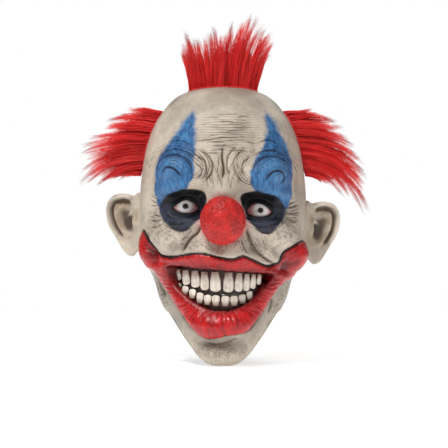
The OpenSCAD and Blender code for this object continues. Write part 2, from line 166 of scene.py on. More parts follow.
def cells(p, size, seed=0):
    """Distance to the nearest of the random dots that stand about size apart, as a share of size."""
    q = p / size
    home = np.floor(q).astype(np.int64)
    best = np.full(q.shape[:-1], 9.0)
    for step in np.ndindex(3, 3, 3):
        i = home + np.array(step) - 1
        dot = i + np.stack([lattice(i, seed + k) for k in range(3)], -1)
        best = np.minimum(best, ((q - dot) ** 2).sum(-1))
    return np.sqrt(best)


def line_distance(x, z, line, reach):
    """Distance from each place to a line, and how far along it, for places within reach of it."""
    low, high = line.min(0) - reach, line.max(0) + reach
    near = np.flatnonzero((x > low[0]) & (x < high[0]) & (z > low[1]) & (z < high[1]))
    distance = np.full(x.shape, float(reach))
    along = np.zeros(x.shape)
    if not len(near):
        return distance, along
    p = np.stack([x[near], z[near]], -1)
    best = np.full(len(near), float(reach) ** 2)
    share = np.zeros(len(near))
    for k in range(len(line) - 1):
        a, d = line[k], line[k + 1] - line[k]
        t = np.clip(((p - a) @ d) / max(d @ d, 1e-9), 0, 1)
        gap = ((p - a - t[:, None] * d) ** 2).sum(1)
        closer = gap < best
        best[closer] = gap[closer]
        share[closer] = (k + t[closer]) / (len(line) - 1)
    distance[near] = np.sqrt(best)
    along[near] = share
    return distance, along


EYE_REACH = 14.0     # distances to an eye or a patch of paint are worked out this far


def signed_distance(x, z, loop, reach=EYE_REACH):
    """Distance to a closed outline, negative inside it, and reach where it is further off."""
    closed = np.concatenate([loop, loop[:1]])
    distance, _ = line_distance(x, z, closed, reach)
    low, high = loop.min(0), loop.max(0)
    near = np.flatnonzero((x > low[0]) & (x < high[0]) & (z > low[1]) & (z < high[1]))
    inside = np.zeros(len(near), bool)
    for a, b in zip(closed[:-1], closed[1:]):
        crosses = (a[1] > z[near]) != (b[1] > z[near])
        height = b[1] - a[1] if abs(b[1] - a[1]) > 1e-9 else 1e-9
        inside ^= crosses & (x[near] < a[0] + (z[near] - a[1]) / height * (b[0] - a[0]))
    distance[near[inside]] *= -1
    return distance


# ---- The head's plain shape, as the CAD skin has it ----

HEAD_W = 167.0
HEAD_D = 204.0
HEAD_H = 272.0
SKIN_T = 2.0
CROWN_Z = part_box("latex_skin")[1][2] * 1000
EYE_R = 17.0
ARCH_Y = -49.0    # where the middle of the curve of the teeth lies

# drop of the front, drop of the sides and back, half width, front depth, back depth
STATIONS = np.array([
    [0, 0, 0, 0, 0],
    [0.004, 0.004, 0.21, 0.21, 0.21],
    [0.014, 0.014, 0.39, 0.38, 0.40],
    [0.036, 0.036, 0.55, 0.53, 0.57],
    [0.074, 0.074, 0.68, 0.67, 0.71],
    [0.140, 0.140, 0.82, 0.80, 0.85],
    [0.228, 0.228, 0.92, 0.90, 0.95],
    [0.349, 0.349, 0.98, 0.96, 1.01],
    [0.460, 0.460, 0.995, 0.965, 1.03],
    [0.560, 0.560, 0.98, 0.98, 0.99],
    [0.645, 0.640, 0.91, 1.005, 0.91],
    [0.732, 0.705, 0.82, 1.01, 0.83],
    [0.820, 0.754, 0.765, 1.01, 0.78],
    [0.905, 0.794, 0.72, 0.995, 0.75],
    [0.970, 0.816, 0.685, 0.955, 0.74],
    [1.0, 0.827, 0.64, 0.84, 0.735],
    [0.990, 0.834, 0.60, 0.62, 0.735]])
LAST = len(STATIONS) - 1
RIM_DROP = STATIONS[LAST, 1]
SLIT_H = 68.0        # the slit at the nape, up from the rim
SLIT_W = 3.0
LINING_STEP = 4      # the inside has every fourth row and column of the outside
FAR_OFF = 30.0       # stands for any distance that is too far off to matter

# azimuth, drop share, azimuth radius, drop radius share, height
RELIEF = [
    (34, 0.322, 15, 0.066, 8),
    (25, 0.450, 13, 0.045, -10),
    (0, 0.400, 9, 0.060, 2),
    (36, 0.545, 15, 0.050, 8),
    (64, 0.622, 13, 0.050, 9),
    (14, 0.615, 30, 0.028, 4),
    (16, 0.720, 24, 0.080, -4),
    (9, 0.860, 20, 0.038, 6),
    (8, 0.960, 14, 0.035, 4)]


def head_point(s, azimuth):
    """The plain outside of the head at a station and an azimuth in degrees, 0 in front."""
    st = curve_rows(STATIONS, s)
    drop = mix(st[..., 1], st[..., 0], smooth((78 - np.abs(azimuth)) / 72))
    lift = np.zeros(np.broadcast(s, azimuth).shape)
    for az, at, az_r, at_r, h in RELIEF:
        for side in ([1] if az == 0 else [1, -1]):
            lift += h * np.exp(-((azimuth - side * az) / az_r) ** 2 - ((drop - at) / at_r) ** 2)
    depth = np.where(np.abs(azimuth) < 90, st[..., 3], st[..., 4]) * HEAD_D / 2 + lift
    turn = np.radians(azimuth)
    return np.stack([(st[..., 2] * HEAD_W / 2 + lift) * np.sin(turn), -depth * np.cos(turn),
                     CROWN_Z - drop * HEAD_H], -1)


def head_normal(s, azimuth):
    across = head_point(s, azimuth + 0.5) - head_point(s, azimuth - 0.5)
    up = head_point(np.maximum(s - 0.03, 0), azimuth) - head_point(np.minimum(s + 0.03, LAST), azimuth)
    return unit(np.cross(across, up))


# ---- The face from the front: outlines as [x, z] in mm of the head ----

LIPS = [[-80.4, -15.7], [-72.7, -20.5], [-65.1, -30], [-58.4, -38.7], [-47.8, -40.6], [-30.6, -37.7],
        [-17.2, -37.7], [0, -41.5], [9.6, -42.5], [19.1, -39.6], [28.7, -43.4], [42.1, -49.2],
        [51.7, -45.4], [60.3, -33.9], [72.7, -27.2], [81.3, -27.2], [82.3, -38.7], [74.6, -54],
        [63.2, -62.6], [52.6, -69.3], [44, -82.7], [32.5, -99.9], [21.1, -111.4], [3.8, -114.3],
        [-10.5, -118.1], [-21.1, -115.2], [-36.4, -98.9], [-51.7, -75], [-65.1, -54.9], [-76.6, -45.4],
        [-81.3, -31]]
MOUTH = [[-51.7, -49.2], [-44, -47.8], [-28.7, -49.7], [-9.6, -51.6], [11.5, -53.5], [32.5, -54.9],
         [45.9, -56.4], [45.9, -59.7], [36.4, -71.2], [23.9, -83.6], [10.5, -91.3], [-2.9, -93.2],
         [-15.3, -90.3], [-30.6, -81.7], [-44, -69.3], [-50.7, -56.8]]
RIGHT_LIDS = [[-47.8, 5.8], [-44, 9.7], [-37.3, 12.4], [-30.6, 11.5], [-24.9, 7.8], [-23, 5.4],
              [-26.8, 2.5], [-34.4, 0.6], [-42.1, 2.1]]
LEFT_LIDS = [[22, 3], [25.8, 6.8], [32.5, 9.4], [39.2, 8.8], [44.5, 5.4], [46.9, 2], [43.1, -1.3],
             [35.4, -3.4], [26.8, -0.9]]
RIGHT_BLUE = [[-28.7, 103], [-23.9, 93.4], [-23.4, 81.9], [-24.9, 68.5], [-27.3, 52.2], [-28.7, 34.1],
              [-36.4, 22.6], [-49.8, 14], [-62.2, 7.3], [-66, 18.8], [-67, 32.2], [-64.6, 45.6],
              [-60.3, 58], [-53.6, 71.4], [-46.9, 81.9], [-38.3, 93.4]]
LEFT_BLUE = [[41.1, 103.9], [38.3, 94.4], [39.2, 81], [37.3, 66.6], [31.6, 55.1], [27.3, 43.6],
             [25.8, 30.2], [32.5, 20.7], [47.8, 12.1], [63.2, 5.4], [67.9, 22.6], [67.9, 40.8], [66, 57],
             [61.2, 73.3], [55.5, 86.7], [48.8, 98.2]]
RIGHT_SOCKET = [[-63.2, 7.3], [-57.4, 15.9], [-47.8, 21.6], [-36.4, 25], [-24.9, 23.5], [-17.2, 17.8],
                [-16.3, 8.2], [-20.1, -2.3], [-28.7, -10.9], [-40.2, -16.7], [-50.7, -11.9],
                [-59.3, -3.3]]
LEFT_SOCKET = [[19.1, 9.2], [19.1, 16.8], [26.8, 21.6], [36.4, 23.1], [45.9, 20.2], [55.5, 13],
               [62.2, 3.4], [56.5, -7.1], [48.8, -14.7], [41.1, -18.6], [30.6, -12.8], [23, -3.3]]

EYE_CORNERS = [[-48.8, 5.4], [-23.4, 6.3], [23, 3], [46.9, 2]]
CREASE_REACH = 8.6    # how far a crease's effect goes
RIPPLE = 2.78         # spacing of the fine lines beside a crease


def blob(x, z, cx, cz, rx, rz, height, turn=0.0):
    """A soft round swelling, or a hollow where height is negative. turn tips its long axis."""
    c, s = math.cos(math.radians(turn)), math.sin(math.radians(turn))
    u = ((x - cx) * c + (z - cz) * s) / rx
    v = (-(x - cx) * s + (z - cz) * c) / rz
    return height * np.exp(-u * u - v * v)


# Soft masses of the face: x, z, x radius, z radius, height, turn
MASSES = [
    (-47.8, 44.6, 14.4, 13.4, 7.0, 0), (48.8, 41.7, 14.4, 13.4, 7.0, 0),          # brow lobes
    (-47.8, 25.5, 16.3, 5.7, 4.2, 8), (45.9, 22.6, 16.3, 5.7, 4.2, -8),           # lower edge of the brows
    (-14.4, 43.6, 5.7, 13.4, 3.6, -8), (12.4, 43.6, 5.7, 13.4, 3.6, 6),           # frown between the brows
    (-28.7, 58.9, 4.8, 15.3, -2.2, 12), (29.7, 57, 4.8, 15.3, -2.2, -10),       # valleys inside the lobes
    (0, 43.6, 2.5, 15.3, -2.4, 0),                                    # middle of the frown
    (0, 20.7, 7.7, 6.7, 2.4, 0),                                        # top of the nose
    (-23, 16.8, 4.8, 8.6, -3.6, -30), (23, 14, 4.8, 8.6, -3.6, 30),         # inner ends of the sockets
    (-36.4, 15.9, 15.3, 4.3, -5.0, 6), (34.4, 13, 15.3, 4.3, -5.0, -6),     # creases under the brows
    (-58.4, 6.3, 4.8, 7.7, -2.8, 0), (57.4, 3.4, 4.8, 7.7, -2.8, 0),              # outer ends of the sockets
    (-36.4, -7.1, 14.4, 4.3, 3.8, -4), (38.3, -9, 14.4, 4.3, 3.8, -8),      # bags under the eyes
    (-38.3, -16.7, 15.3, 2.9, -2.4, -6), (41.1, -18.6, 14.4, 2.9, -2.4, -8),      # hollows under the bags
    (-53.6, -23.3, 18.2, 8.6, 5.2, 16), (56.5, -20.5, 18.2, 9.6, 5.2, -16),      # cheeks
    (-55.5, -33.9, 7.7, 4.8, 2.0, 20), (44, -40.6, 11.5, 4.8, 4.6, -22),        # lowest rolls of the cheeks
    (-18.2, -26.2, 10.5, 8.6, 4.0, 20), (11.5, -30, 10.5, 7.7, 4.0, -10),       # sides of the upper lip
    (-2.9, -32.9, 2.9, 7.7, -1.8, 0),                                     # groove below the nose
    (-63.2, -82.7, 9.6, 21.1, 3.4, 28), (59.3, -80.8, 7.7, 19.1, 3.4, -28),      # jaw beside the mouth
    (-49.8, -99.9, 5.7, 13.4, -2.6, 32), (47.8, -99.9, 4.8, 11.5, -2.6, -32),   # hollows of the jaw
    (-1.9, -131.5, 19.1, 7.7, 3.2, 0), (-3.8, -121, 17.2, 3.3, -2.4, 2),      # chin and the crease above it
    (-70.8, 32.2, 7.7, 24.9, -2.6, 0), (72.7, 28.3, 7.7, 24.9, -2.6, 0)]          # temples

# Creases: width, depth and a line of points
CREASES = [
    (1.6, 1.7, [[0, 64.7], [-1, 54.2], [1, 43.6], [-1, 34.1]]),
    (1.3, 1.1, [[-24.9, 62.8], [-15.3, 57], [-9.6, 47.5], [-11.5, 37.9], [-18.2, 30.2]]),
    (1.2, 1.0, [[-30.6, 58.9], [-21.1, 54.2], [-15.3, 46.5], [-16.3, 37.9], [-22, 32.2]]),
    (1.2, 1.1, [[-27.8, 50.3], [-22, 45.6], [-20.1, 39.8], [-24.9, 33.1]]),
    (1.3, 1.1, [[14.4, 66.6], [5.7, 57], [3.8, 45.6], [6.7, 35]]),
    (1.2, 1.0, [[23, 63.7], [13.4, 56.1], [9.6, 46.5], [13.4, 36], [19.1, 30.2]]),
    (1.2, 1.1, [[27.8, 57], [20.1, 50.3], [18.2, 42.7], [22, 36]]),
    (1.8, 1.5, [[-63.2, 41.7], [-59.3, 51.3], [-48.8, 56.1], [-37.3, 54.2], [-30.6, 46.5], [-29.7, 38.9]]),
    (1.3, 1.0, [[-59.3, 58.9], [-47.8, 62.8], [-35.4, 59.9], [-27.8, 54.2]]),
    (1.2, 0.8, [[-52.6, 69.5], [-42.1, 71.4], [-29.7, 66.6]]),
    (1.9, 1.8, [[-56.5, 38.9], [-50.7, 43.6], [-44, 41.7], [-39.2, 36]]),
    (1.8, 1.5, [[29.7, 42.7], [32.5, 50.3], [42.1, 55.1], [54.5, 53.2], [63.2, 44.6], [66, 37.9]]),
    (1.3, 1.0, [[29.7, 55.1], [38.3, 60.9], [50.7, 60.9], [61.2, 54.2]]),
    (1.2, 0.8, [[33.5, 68.5], [44, 72.3], [54.5, 67.6]]),
    (1.9, 1.8, [[39.2, 32.2], [44, 38.9], [50.7, 40.8], [56.5, 36], [52.6, 30.2]]),
    (1.3, 1.2, [[-57.4, 0.6], [-47.8, -3.3], [-35.4, -3.7], [-23, 1.5]]),
    (1.3, 1.2, [[-55.5, -6.1], [-45, -10.4], [-31.6, -8.5], [-20.1, -1.3]]),
    (1.2, 0.9, [[-60.3, -3.3], [-54.5, -10.9], [-42.1, -15.2], [-29.7, -12.8]]),
    (1.3, 1.2, [[22, -2.3], [31.6, -6.1], [44, -6.6], [55.5, -1.3]]),
    (1.3, 1.2, [[25.8, -8], [35.4, -12.8], [47.8, -11.9], [57.4, -4.2]]),
    (1.2, 0.9, [[31.6, -13.8], [43.1, -18.1], [53.6, -12.8], [60.3, -4.2]]),
    (2.4, 2.4, [[-21.1, -10], [-23.9, -16.7], [-31.6, -24.3], [-40.2, -36.7]]),
    (1.2, 0.8, [[-28.7, -11.9], [-33.5, -19.5], [-39.2, -25.3]]),
    (2.6, 2.8, [[23, -11.9], [24.9, -21.4], [29.7, -32], [39.2, -41.5], [48.8, -47.3]]),
    (1.2, 0.9, [[17.2, -23.3], [19.1, -31], [23, -36.7]]),
    (1.2, 0.9, [[-68.9, 1.5], [-63.2, -1.3], [-58.4, -0.4]]),
    (1.2, 0.9, [[-71.8, -5.2], [-65.1, -6.1], [-57.4, -3.3]]),
    (1.2, 0.9, [[-70.8, -11.9], [-64.1, -11.9], [-57.4, -8]]),
    (1.2, 0.9, [[75.6, 10.1], [67.9, 7.3], [60.3, 7.3]]),
    (1.2, 0.9, [[76.6, 3.4], [68.9, 1.5], [61.2, 2.5]]),
    (1.2, 0.9, [[74.6, -5.2], [67.9, -5.2], [61.2, -1.3]]),
    (1.6, 1.5, [[47.8, -80.8], [45.9, -88.4], [44, -95.1]]),
    (1.2, 0.9, [[52.6, -84.6], [50.7, -90.3], [49.8, -95.1]]),
    (1.5, 1.3, [[-67, -55.9], [-61.2, -67.4], [-54.5, -78.9]]),
    (1.4, 0.8, [[-19.1, -121], [-7.7, -123.3], [5.7, -121], [15.3, -117.1]]),
    (1.2, 0.7, [[19.1, -113.3], [25.8, -109.5], [31.6, -103.7]])]


def forehead_lines(x, z, p):
    """Depth of the long wavy wrinkles across the forehead, broken here and there."""
    total = np.zeros(x.shape)
    for i in range(15):
        half = 34.4 - 0.67 * abs(i - 6) + 4.8 * math.sin(4.0 * i)
        middle = 4.8 + 4.8 * math.sin(2.1 * i)
        wave = (59.9 + 2.63 * i + 0.86 * np.sin(x / 6.22 + 1.3 * i) + 0.96 * noise(p, 11, 150 + i)
                - 2.1 * ((x - 4.8) / 28.7) ** 2)
        ends = smooth(1.6 * (1 - np.abs(x - middle) / half))
        whole = smooth(0.75 + 1.4 * noise(p, 9, 170 + i))
        deep = 0.9 + 0.2 * math.sin(1.7 * i)
        total = np.maximum(total, deep * ends * whole * np.exp(-((z - wave) / 0.62) ** 2))
    return total


def frown_lines(x, z, p):
    """Depth of the wavy upright wrinkles between the brows, which spread as they climb."""
    total = np.zeros(x.shape)
    climb = np.clip((z - 22.6) / 42.1, 0, 1.2)
    for i in range(11):
        start = -25.8 + 5.17 * i
        line = start * (0.5 + 0.62 * climb ** 1.4) + 0.96 * np.sin(z / 5.26 + 2.3 * i + 0.07)
        line = line + 0.77 * noise(p, 9, 130 + i)
        top = 58 + 4.8 * math.sin(3.3 * i)
        ends = smooth((z - 23.5 - 3.8 * math.sin(2.2 * i)) / 7.7) * smooth((top - z) / 8.6)
        deep = 0.8 + 0.25 * math.sin(1.9 * i)
        total = np.maximum(total, deep * ends * np.exp(-((x - line) / 0.57) ** 2))
    return total


# Fans of fine wrinkles: kind, centre, spacing, inner and outer radius, first and last angle, depth
FANS = [
    ("ring", -46.9, 36, 2.87, 6.7, 36.4, 20, 165, 1.3),
    ("ring", 47.8, 33.1, 2.87, 6.7, 36.4, 15, 160, 1.3),
    ("ring", -29.7, 45.6, 2.58, 5.7, 23, -95, 75, 1.3),
    ("ring", 30.6, 46.5, 2.58, 7.7, 24.9, 110, 275, 1.3),
    ("ring", -35.4, 13, 2.58, 13.4, 29.7, 200, 340, 1.2),
    ("ring", 36.4, 10.1, 2.58, 13.4, 29.7, 200, 340, 1.2),
    ("ray", -49.8, 5.4, 11, 12.4, 27.8, 130, 238, 1.3), ("ray", 50.7, 2.5, 11, 12.4, 27.8, -58, 48, 1.3),
    ("ring", -5.7, -8, 2.87, 25.8, 36.4, 185, 238, 1.1),
    ("ring", 5.7, -10, 2.87, 25.8, 45.9, 298, 350, 1.2),
    ("ring", -19.1, -67.4, 3.06, 53.6, 68.9, 165, 218, 1.1),
    ("ring", 9.6, -67.4, 3.06, 47.8, 65.1, -38, 12, 1.2),
    ("ring", 0, -92.2, 2.68, 27.8, 43.1, 225, 315, 0.8)]


def fan_lines(x, z, p):
    """Depth of the fine wrinkles that run round or out from the folds of the face."""
    total = np.zeros(x.shape)
    for k, (kind, cx, cz, step, near, far, first, last, deep) in enumerate(FANS):
        inside = np.flatnonzero((np.abs(x - cx) < far + 4) & (np.abs(z - cz) < far + 4))
        dx, dz, q = x[inside] - cx, z[inside] - cz, p[inside]
        r = np.hypot(dx, dz) + 1.05 * noise(q, 8, 70 + k)
        turn = np.degrees(np.arctan2(dz, dx)) + 5 * noise(q, 11, 90 + k)
        middle, half = (first + last) / 2, (last - first) / 2
        off = np.abs((turn - middle + 180) % 360 - 180)
        count = r / step if kind == "ring" else turn / step
        width = 0.59 / (step if kind == "ring" else np.maximum(step * r * math.pi / 180, 1.44))
        line = np.exp(-(((count % 1) - 0.5) / width) ** 2)
        shown = smooth((r - near) / 4.8) * smooth((far - r) / 5.7) * smooth((half - off) / 16)
        total[inside] = np.maximum(total[inside], deep * line * shown * (0.65 + 0.35 * noise(q, 7, 110 + k)))
    return total


# Fields of pores: x, z, x radius, z radius, how many
PORE_FIELDS = [
    (-55.5, -19.5, 16.3, 8.6, 90), (57.4, -18.6, 16.3, 8.6, 90), (-17.2, -26.2, 14.4, 7.7, 70),
    (9.6, -28.1, 14.4, 7.7, 60), (42.1, -34.8, 11.5, 7.7, 50), (-45.9, -30, 9.6, 5.7, 40),
    (-1.9, -130.5, 17.2, 5.7, 75), (-59.3, -80.8, 8.6, 19.1, 40), (57.4, -84.6, 7.7, 19.1, 40),
    (63.2, -0.4, 9.6, 7.7, 25), (-63.2, -6.1, 7.7, 7.7, 25)]


def pore_places(seed=11):
    """Where the pores are and how big each is: x, z, radius."""
    rng = np.random.default_rng(seed)
    places = []
    for cx, cz, rx, rz, count in PORE_FIELDS:
        spot = rng.normal(0, 0.55, (count, 2)) * [rx, rz] + [cx, cz]
        places.append(np.column_stack([spot, rng.uniform(0.48, 0.91, count)]))
    return np.concatenate(places)


def sculpt(p, front, depth):
    """How far the face's detail lifts each point, and the masks that the paint follows."""
    x, z = p[..., 0], p[..., 2]
    facing = smooth((front - 0.02) / 0.2)
    lift = np.zeros(x.shape)
    for row in MASSES:
        lift += blob(x, z, *row)
    # Painted shade: marks where the soft masses sink, so that they are painted darker.
    hollows = smooth((-lift - 0.4) / 3.5) * smooth((z + 107.6) / 9.6) * facing
    # Painted highlight: marks the raised soft masses, which are painted paler.
    crests = smooth((lift - 1.5) / 6) * facing
    round_side = x * (1 + 0.08 * smooth((0.42 - front) / 0.42))
    lips = signed_distance(round_side, z, smooth_loop(LIPS), FAR_OFF)
    mouth = signed_distance(x, z, smooth_loop(MOUTH), FAR_OFF)
    lids = np.minimum(signed_distance(x, z, smooth_loop(RIGHT_LIDS)),
                      signed_distance(x, z, smooth_loop(LEFT_LIDS)))
    # the lips: a full rounded roll between the painted outline and the opening
    out, back = np.maximum(-lips, 0), np.maximum(mouth, 0)
    share = np.clip(out / np.maximum(out + back, 1e-6), 0, 1)
    upper = smooth((z + 54 + 0.07 * x) / 5.7)
    on_lip = smooth(out / 1.44) * (mouth > 0)
    roll = np.sqrt(np.clip(np.sin(np.pi * np.clip(share * 0.86 + 0.06, 0, 1)), 0, 1))
    lift += on_lip * roll * mix(5.2, 2.6, upper)
    lift += blob(x, z, -73.7, -32.9, 7.7, 14.4, 4.0, 14) + blob(x, z, 72.7, -41.5, 9.6, 12.4, 4.5, -24)
    lift += blob(x, z, -65.1, -36.7, 3.4, 7.7, -4.5, 24) + blob(x, z, 59.3, -49.2, 4.3, 6.7, -4.5, -30)
    angle = np.arctan2(z + 63.54, (x + 1.91) * 0.75)
    ribs = np.sin(angle * 47 + 4.5 * noise(p, 9, 5)) + 0.8 * np.sin(angle * 83 + 3.5 * noise(p, 6, 7))
    ribs = ribs * (0.55 + 0.45 * noise(p, 11, 8))
    lift += on_lip * (ribs * mix(0.42, 0.3, upper) * smooth(back / 2.9) + 0.5 * noise(p, 8, 9))
    outline = np.exp(-(np.abs(lips) / 1.24) ** 2) * smooth((front + 0.05) / 0.1)
    lift -= 1.3 * outline
    # eyelids: a raised edge round each opening
    lift += 1.5 * np.exp(-((lids - 1.34) / 1.63) ** 2) - 1.1 * np.exp(-((lids - 4.8) / 1.72) ** 2)
    # rubbed marks the creases and the fine lines beside them for the crease colour: partly a wash, partly
    # painted shade.
    crease, rubbed = np.zeros(x.shape), np.zeros(x.shape)
    for width, deep, points in CREASES:
        distance, along = line_distance(x, z, smooth_line(points), CREASE_REACH)
        ends = mix(0.25, 1, smooth(5 * along) * smooth(5 * (1 - along))) * (distance < CREASE_REACH)
        crease -= 1.5 * deep * np.exp(-(distance / (0.67 * width)) ** 2) * ends
        ripple = np.cos(2 * math.pi * distance / RIPPLE) * np.exp(-(distance / 4.6) ** 2) * (lips > 1.9)
        crease -= 0.34 * ripple * ends
        middle = min(1, 0.4 + deep / 3) * np.exp(-(distance / (0.40 * width + 0.24)) ** 2)
        beside = 0.5 * np.exp(-((distance - RIPPLE) / 0.57) ** 2) * (0.5 + 0.5 * noise(p, 9, 6))
        rubbed = np.maximum(rubbed, np.maximum(middle, beside) * ends)
    brow_rows = forehead_lines(x, z, p)
    fans = fan_lines(x, z, p) * (lips > 1.4) * smooth((lids - 1.9) / 2.9)
    frown = frown_lines(x, z, p)
    crease -= brow_rows + 1.1 * np.maximum(fans, frown)
    fine_lines = np.maximum(0.85 * brow_rows, 0.75 * np.maximum(fans, frown))
    rubbed = np.clip(np.maximum(rubbed, fine_lines), 0, 1) * facing
    pores = np.zeros(x.shape)
    for px, pz, r in pore_places():
        near = (np.abs(x - px) < 3 * r) & (np.abs(z - pz) < 3 * r)
        gap = ((x[near] - px) ** 2 + (z[near] - pz) ** 2) / r ** 2
        pores[near] = np.maximum(pores[near], np.exp(-gap))
    pores *= (lips > 0.96) * facing
    rough = 0.22 * noise(p, 5, 1) + 0.13 * noise(p, 2.2, 2)
    scalp = smooth((z - 99.1 - 3.8 * noise(p, 20, 4)) / 9.6)
    still = mix(1, 0.25, np.maximum(scalp, 1 - facing))
    lift = lift * facing + depth * (crease * facing - 0.55 * pores) + rough * still
    stipple = sum(blob(x, z, cx, cz, 1.15 * rx, 1.15 * rz, 1.0) for cx, cz, rx, rz, _ in PORE_FIELDS)
    # Painted shade: the furrows between the lip's ribs are painted dark red.
    furrow = on_lip * np.clip(-0.8 * ribs - 0.15, 0, 1)
    rows = blob(x, z, 5.7, 80, 28.7, 19.1, 1.0) * facing
    masks = {"x": x, "z": z, "facing": facing, "lips": lips, "mouth": mouth, "lids": lids, "outline": outline,
             "rubbed": rubbed, "pores": pores, "scalp": scalp, "furrow": furrow, "rows": rows,
             "hollows": hollows, "crests": crests,
             "stipple": np.clip(stipple, 0, 1) * facing * smooth((lips - 0.48) / 1.9)}
    return lift, masks


def paint(p, m):
    """Turns the masks of the sculpt into one 0 to 1 value per coat of paint. Some coats are painted light:
    shade in the creases, hollows and lip furrows, towards the mouth, round the jaw and on the sides, and
    highlight on the crests.
    """
    x, z, facing = m["x"], m["z"], m["facing"]
    ragged = 1.44 * noise(p, 7, 21) + 0.67 * noise(p, 2.4, 22)
    streak = 1.72 * noise(p * [1, 1, 3.5], 6, 23)
    blue = np.zeros(x.shape)
    for outline in (RIGHT_BLUE, LEFT_BLUE):
        off = signed_distance(x, z, smooth_loop(outline))
        softness = mix(4.8, 11.5, smooth((z - 37.9) / 52.6))
        blue = np.maximum(blue, smooth((2.5 - off + 0.6 * ragged + 0.5 * streak) / softness))
    socket = np.minimum(signed_distance(x, z, smooth_loop(RIGHT_SOCKET)),
                        signed_distance(x, z, smooth_loop(LEFT_SOCKET)))
    dark = smooth((2.1 - socket + 0.5 * ragged) / 3.8)
    tilt = z + 0.045 * x
    upper = smooth((tilt - 5.4 + 0.5 * ragged) / 5.7)
    lined = smooth((2.9 - m["lids"]) / 2.1)
    red = smooth((0.38 - m["lips"]) / 1.15)
    # Painted shade: the lips turn red-black towards the mouth and in the folds at its corners.
    inner = np.maximum(smooth((2.5 - m["mouth"]) / 3.4), 0.5 * smooth((6.2 - m["mouth"]) / 4.8)) * red
    hollow = blob(x, z, -66, -36.7, 4.3, 8.6, 1.2, 24) + blob(x, z, 59.3, -49.2, 5.3, 7.7, 1.2, -30)
    line = smooth((m["outline"] * (1.15 + 0.25 * noise(p, 4, 25)) - 0.3) / 0.4)
    # Brown in the creases and hollows: partly a wash, partly painted shade.
    wash = np.clip(m["rubbed"] + 0.10 * noise(p, 14, 24) + 0.42 * m["hollows"], 0, 1)
    ring = np.hypot(x, z + 6.1)
    pink = 0.5 * smooth((28.7 - ring + ragged) / 5.7)
    for cx, cz in EYE_CORNERS:
        pink = np.maximum(pink, 0.9 * blob(x, z, cx, cz, 2.5, 2.3, 1))
    # Painted shade: darker beside and below the lower lip, on the sides of the head that turn away from the
    # front, and under the side hair.
    beside = smooth((24.9 - m["lips"] + 2 * ragged) / 19.1) * smooth((-50.1 - z) / 19.1) * (m["lips"] > 0)
    beside *= smooth((m["front"] + 0.3) / 0.4)
    edge = smooth((0.5 - m["front"]) / 0.4) * (0.3 + 0.7 * smooth((-19.5 - z) / 67))
    stain = 0.8 * blob(x, z, -4.8, 113.5, 19.1, 4.3, 1) * facing
    hair_line = smooth((0.34 - m["front"]) / 0.3) * smooth((z - 4.4) / 38.3) * 0.3
    coats = {"line": line, "blue": blue * facing, "black": dark * np.maximum(upper, lined) * facing,
             "navy": dark * facing, "red": red * smooth((m["front"] + 0.05) / 0.1), "furrow": m["furrow"],
             "deep": np.clip(inner + 0.9 * hollow, 0, 1) * red, "wash": wash, "pink": pink * facing,
             "shade": 0.5 * beside + 0.5 * edge + hair_line, "scalp": np.maximum(m["scalp"], stain),
             "pores": m["pores"], "stipple": m["stipple"], "rows": m["rows"], "crests": m["crests"]}
    return {name: np.clip(value, 0, 1) for name, value in coats.items()}


# ---- Meshes ----

def make_mesh(name, points_mm, faces):
    """A smooth mesh object in metres from points in mm. A quad that repeats its last corner is a triangle."""
    faces = [[int(i) for i in (f[:3] if f[2] == f[3] else f)] for f in faces]
    mesh = bpy.data.meshes.new(name)
    mesh.from_pydata((np.asarray(points_mm) * 0.001).tolist(), [], faces)
    mesh.polygons.foreach_set("use_smooth", np.ones(len(mesh.polygons), bool))
    mesh.update()
    piece = bpy.data.objects.new(name, mesh)
    bpy.context.scene.collection.objects.link(piece)
    return piece


def make_piece(name, parts, material):
    """A mesh object with its finish and with one number per point for each mask that the finish reads."""
    points, faces, values = parts
    piece = make_mesh(name, points, faces)
    for mask, numbers in values.items():
        layer = piece.data.attributes.new(mask, "FLOAT", "POINT")
        layer.data.foreach_set("value", np.asarray(numbers, np.float32))
    piece.data.materials.append(material)
    return piece


def grid_faces(rows, columns, wrap=False):
    """Quads between neighbouring rows of points, outwards where rows run down and columns run right."""
    r = np.arange(rows - 1)[:, None]
    c = np.arange(columns if wrap else columns - 1)[None, :]
    n = (c + 1) % columns
    quads = np.stack([r * columns + c, (r + 1) * columns + c, (r + 1) * columns + n, r * columns + n], -1)
    return quads.reshape(-1, 4)


def closed_sheet(outer, inner):
    """Points and faces of a thin sheet between two grids of points."""
    rows, columns = outer.shape[:2]
    count = rows * columns
    quads = grid_faces(rows, columns)
    index = np.arange(count).reshape(rows, columns)
    loop = np.concatenate([index[:, 0], index[-1, 1:], index[-2::-1, -1], index[0, -2:0:-1]])
    after = np.roll(loop, -1)
    edge = np.stack([after, loop, loop + count, after + count], -1)
    points = np.concatenate([outer.reshape(-1, 3), inner.reshape(-1, 3)])
    return points, np.concatenate([quads, quads[:, ::-1] + count, edge])


def join_parts(parts):
    """Several (points, faces, values) as one."""
    points, faces, values, count = [], [], {}, 0
    for p, f, v in parts:
        points.append(p)
        faces.extend((f + count).tolist())
        for name, value in v.items():
            values.setdefault(name, []).append(value)
        count += len(p)
    return np.concatenate(points), faces, {name: np.concatenate(v) for name, v in values.items()}


# ---- The skin ----

def spaced(function, low, high, spacing, samples=1500):
    """Values from low to high whose points stand about spacing(value) mm apart."""
    t = np.linspace(low, high, samples)
    step = np.linalg.norm(np.diff(function(t), axis=0), axis=1)
    count = np.concatenate([[0], np.cumsum(step / spacing((t[1:] + t[:-1]) / 2))])
    return np.interp(np.linspace(0, count[-1], max(int(count[-1]), 2) + 1), count, t)


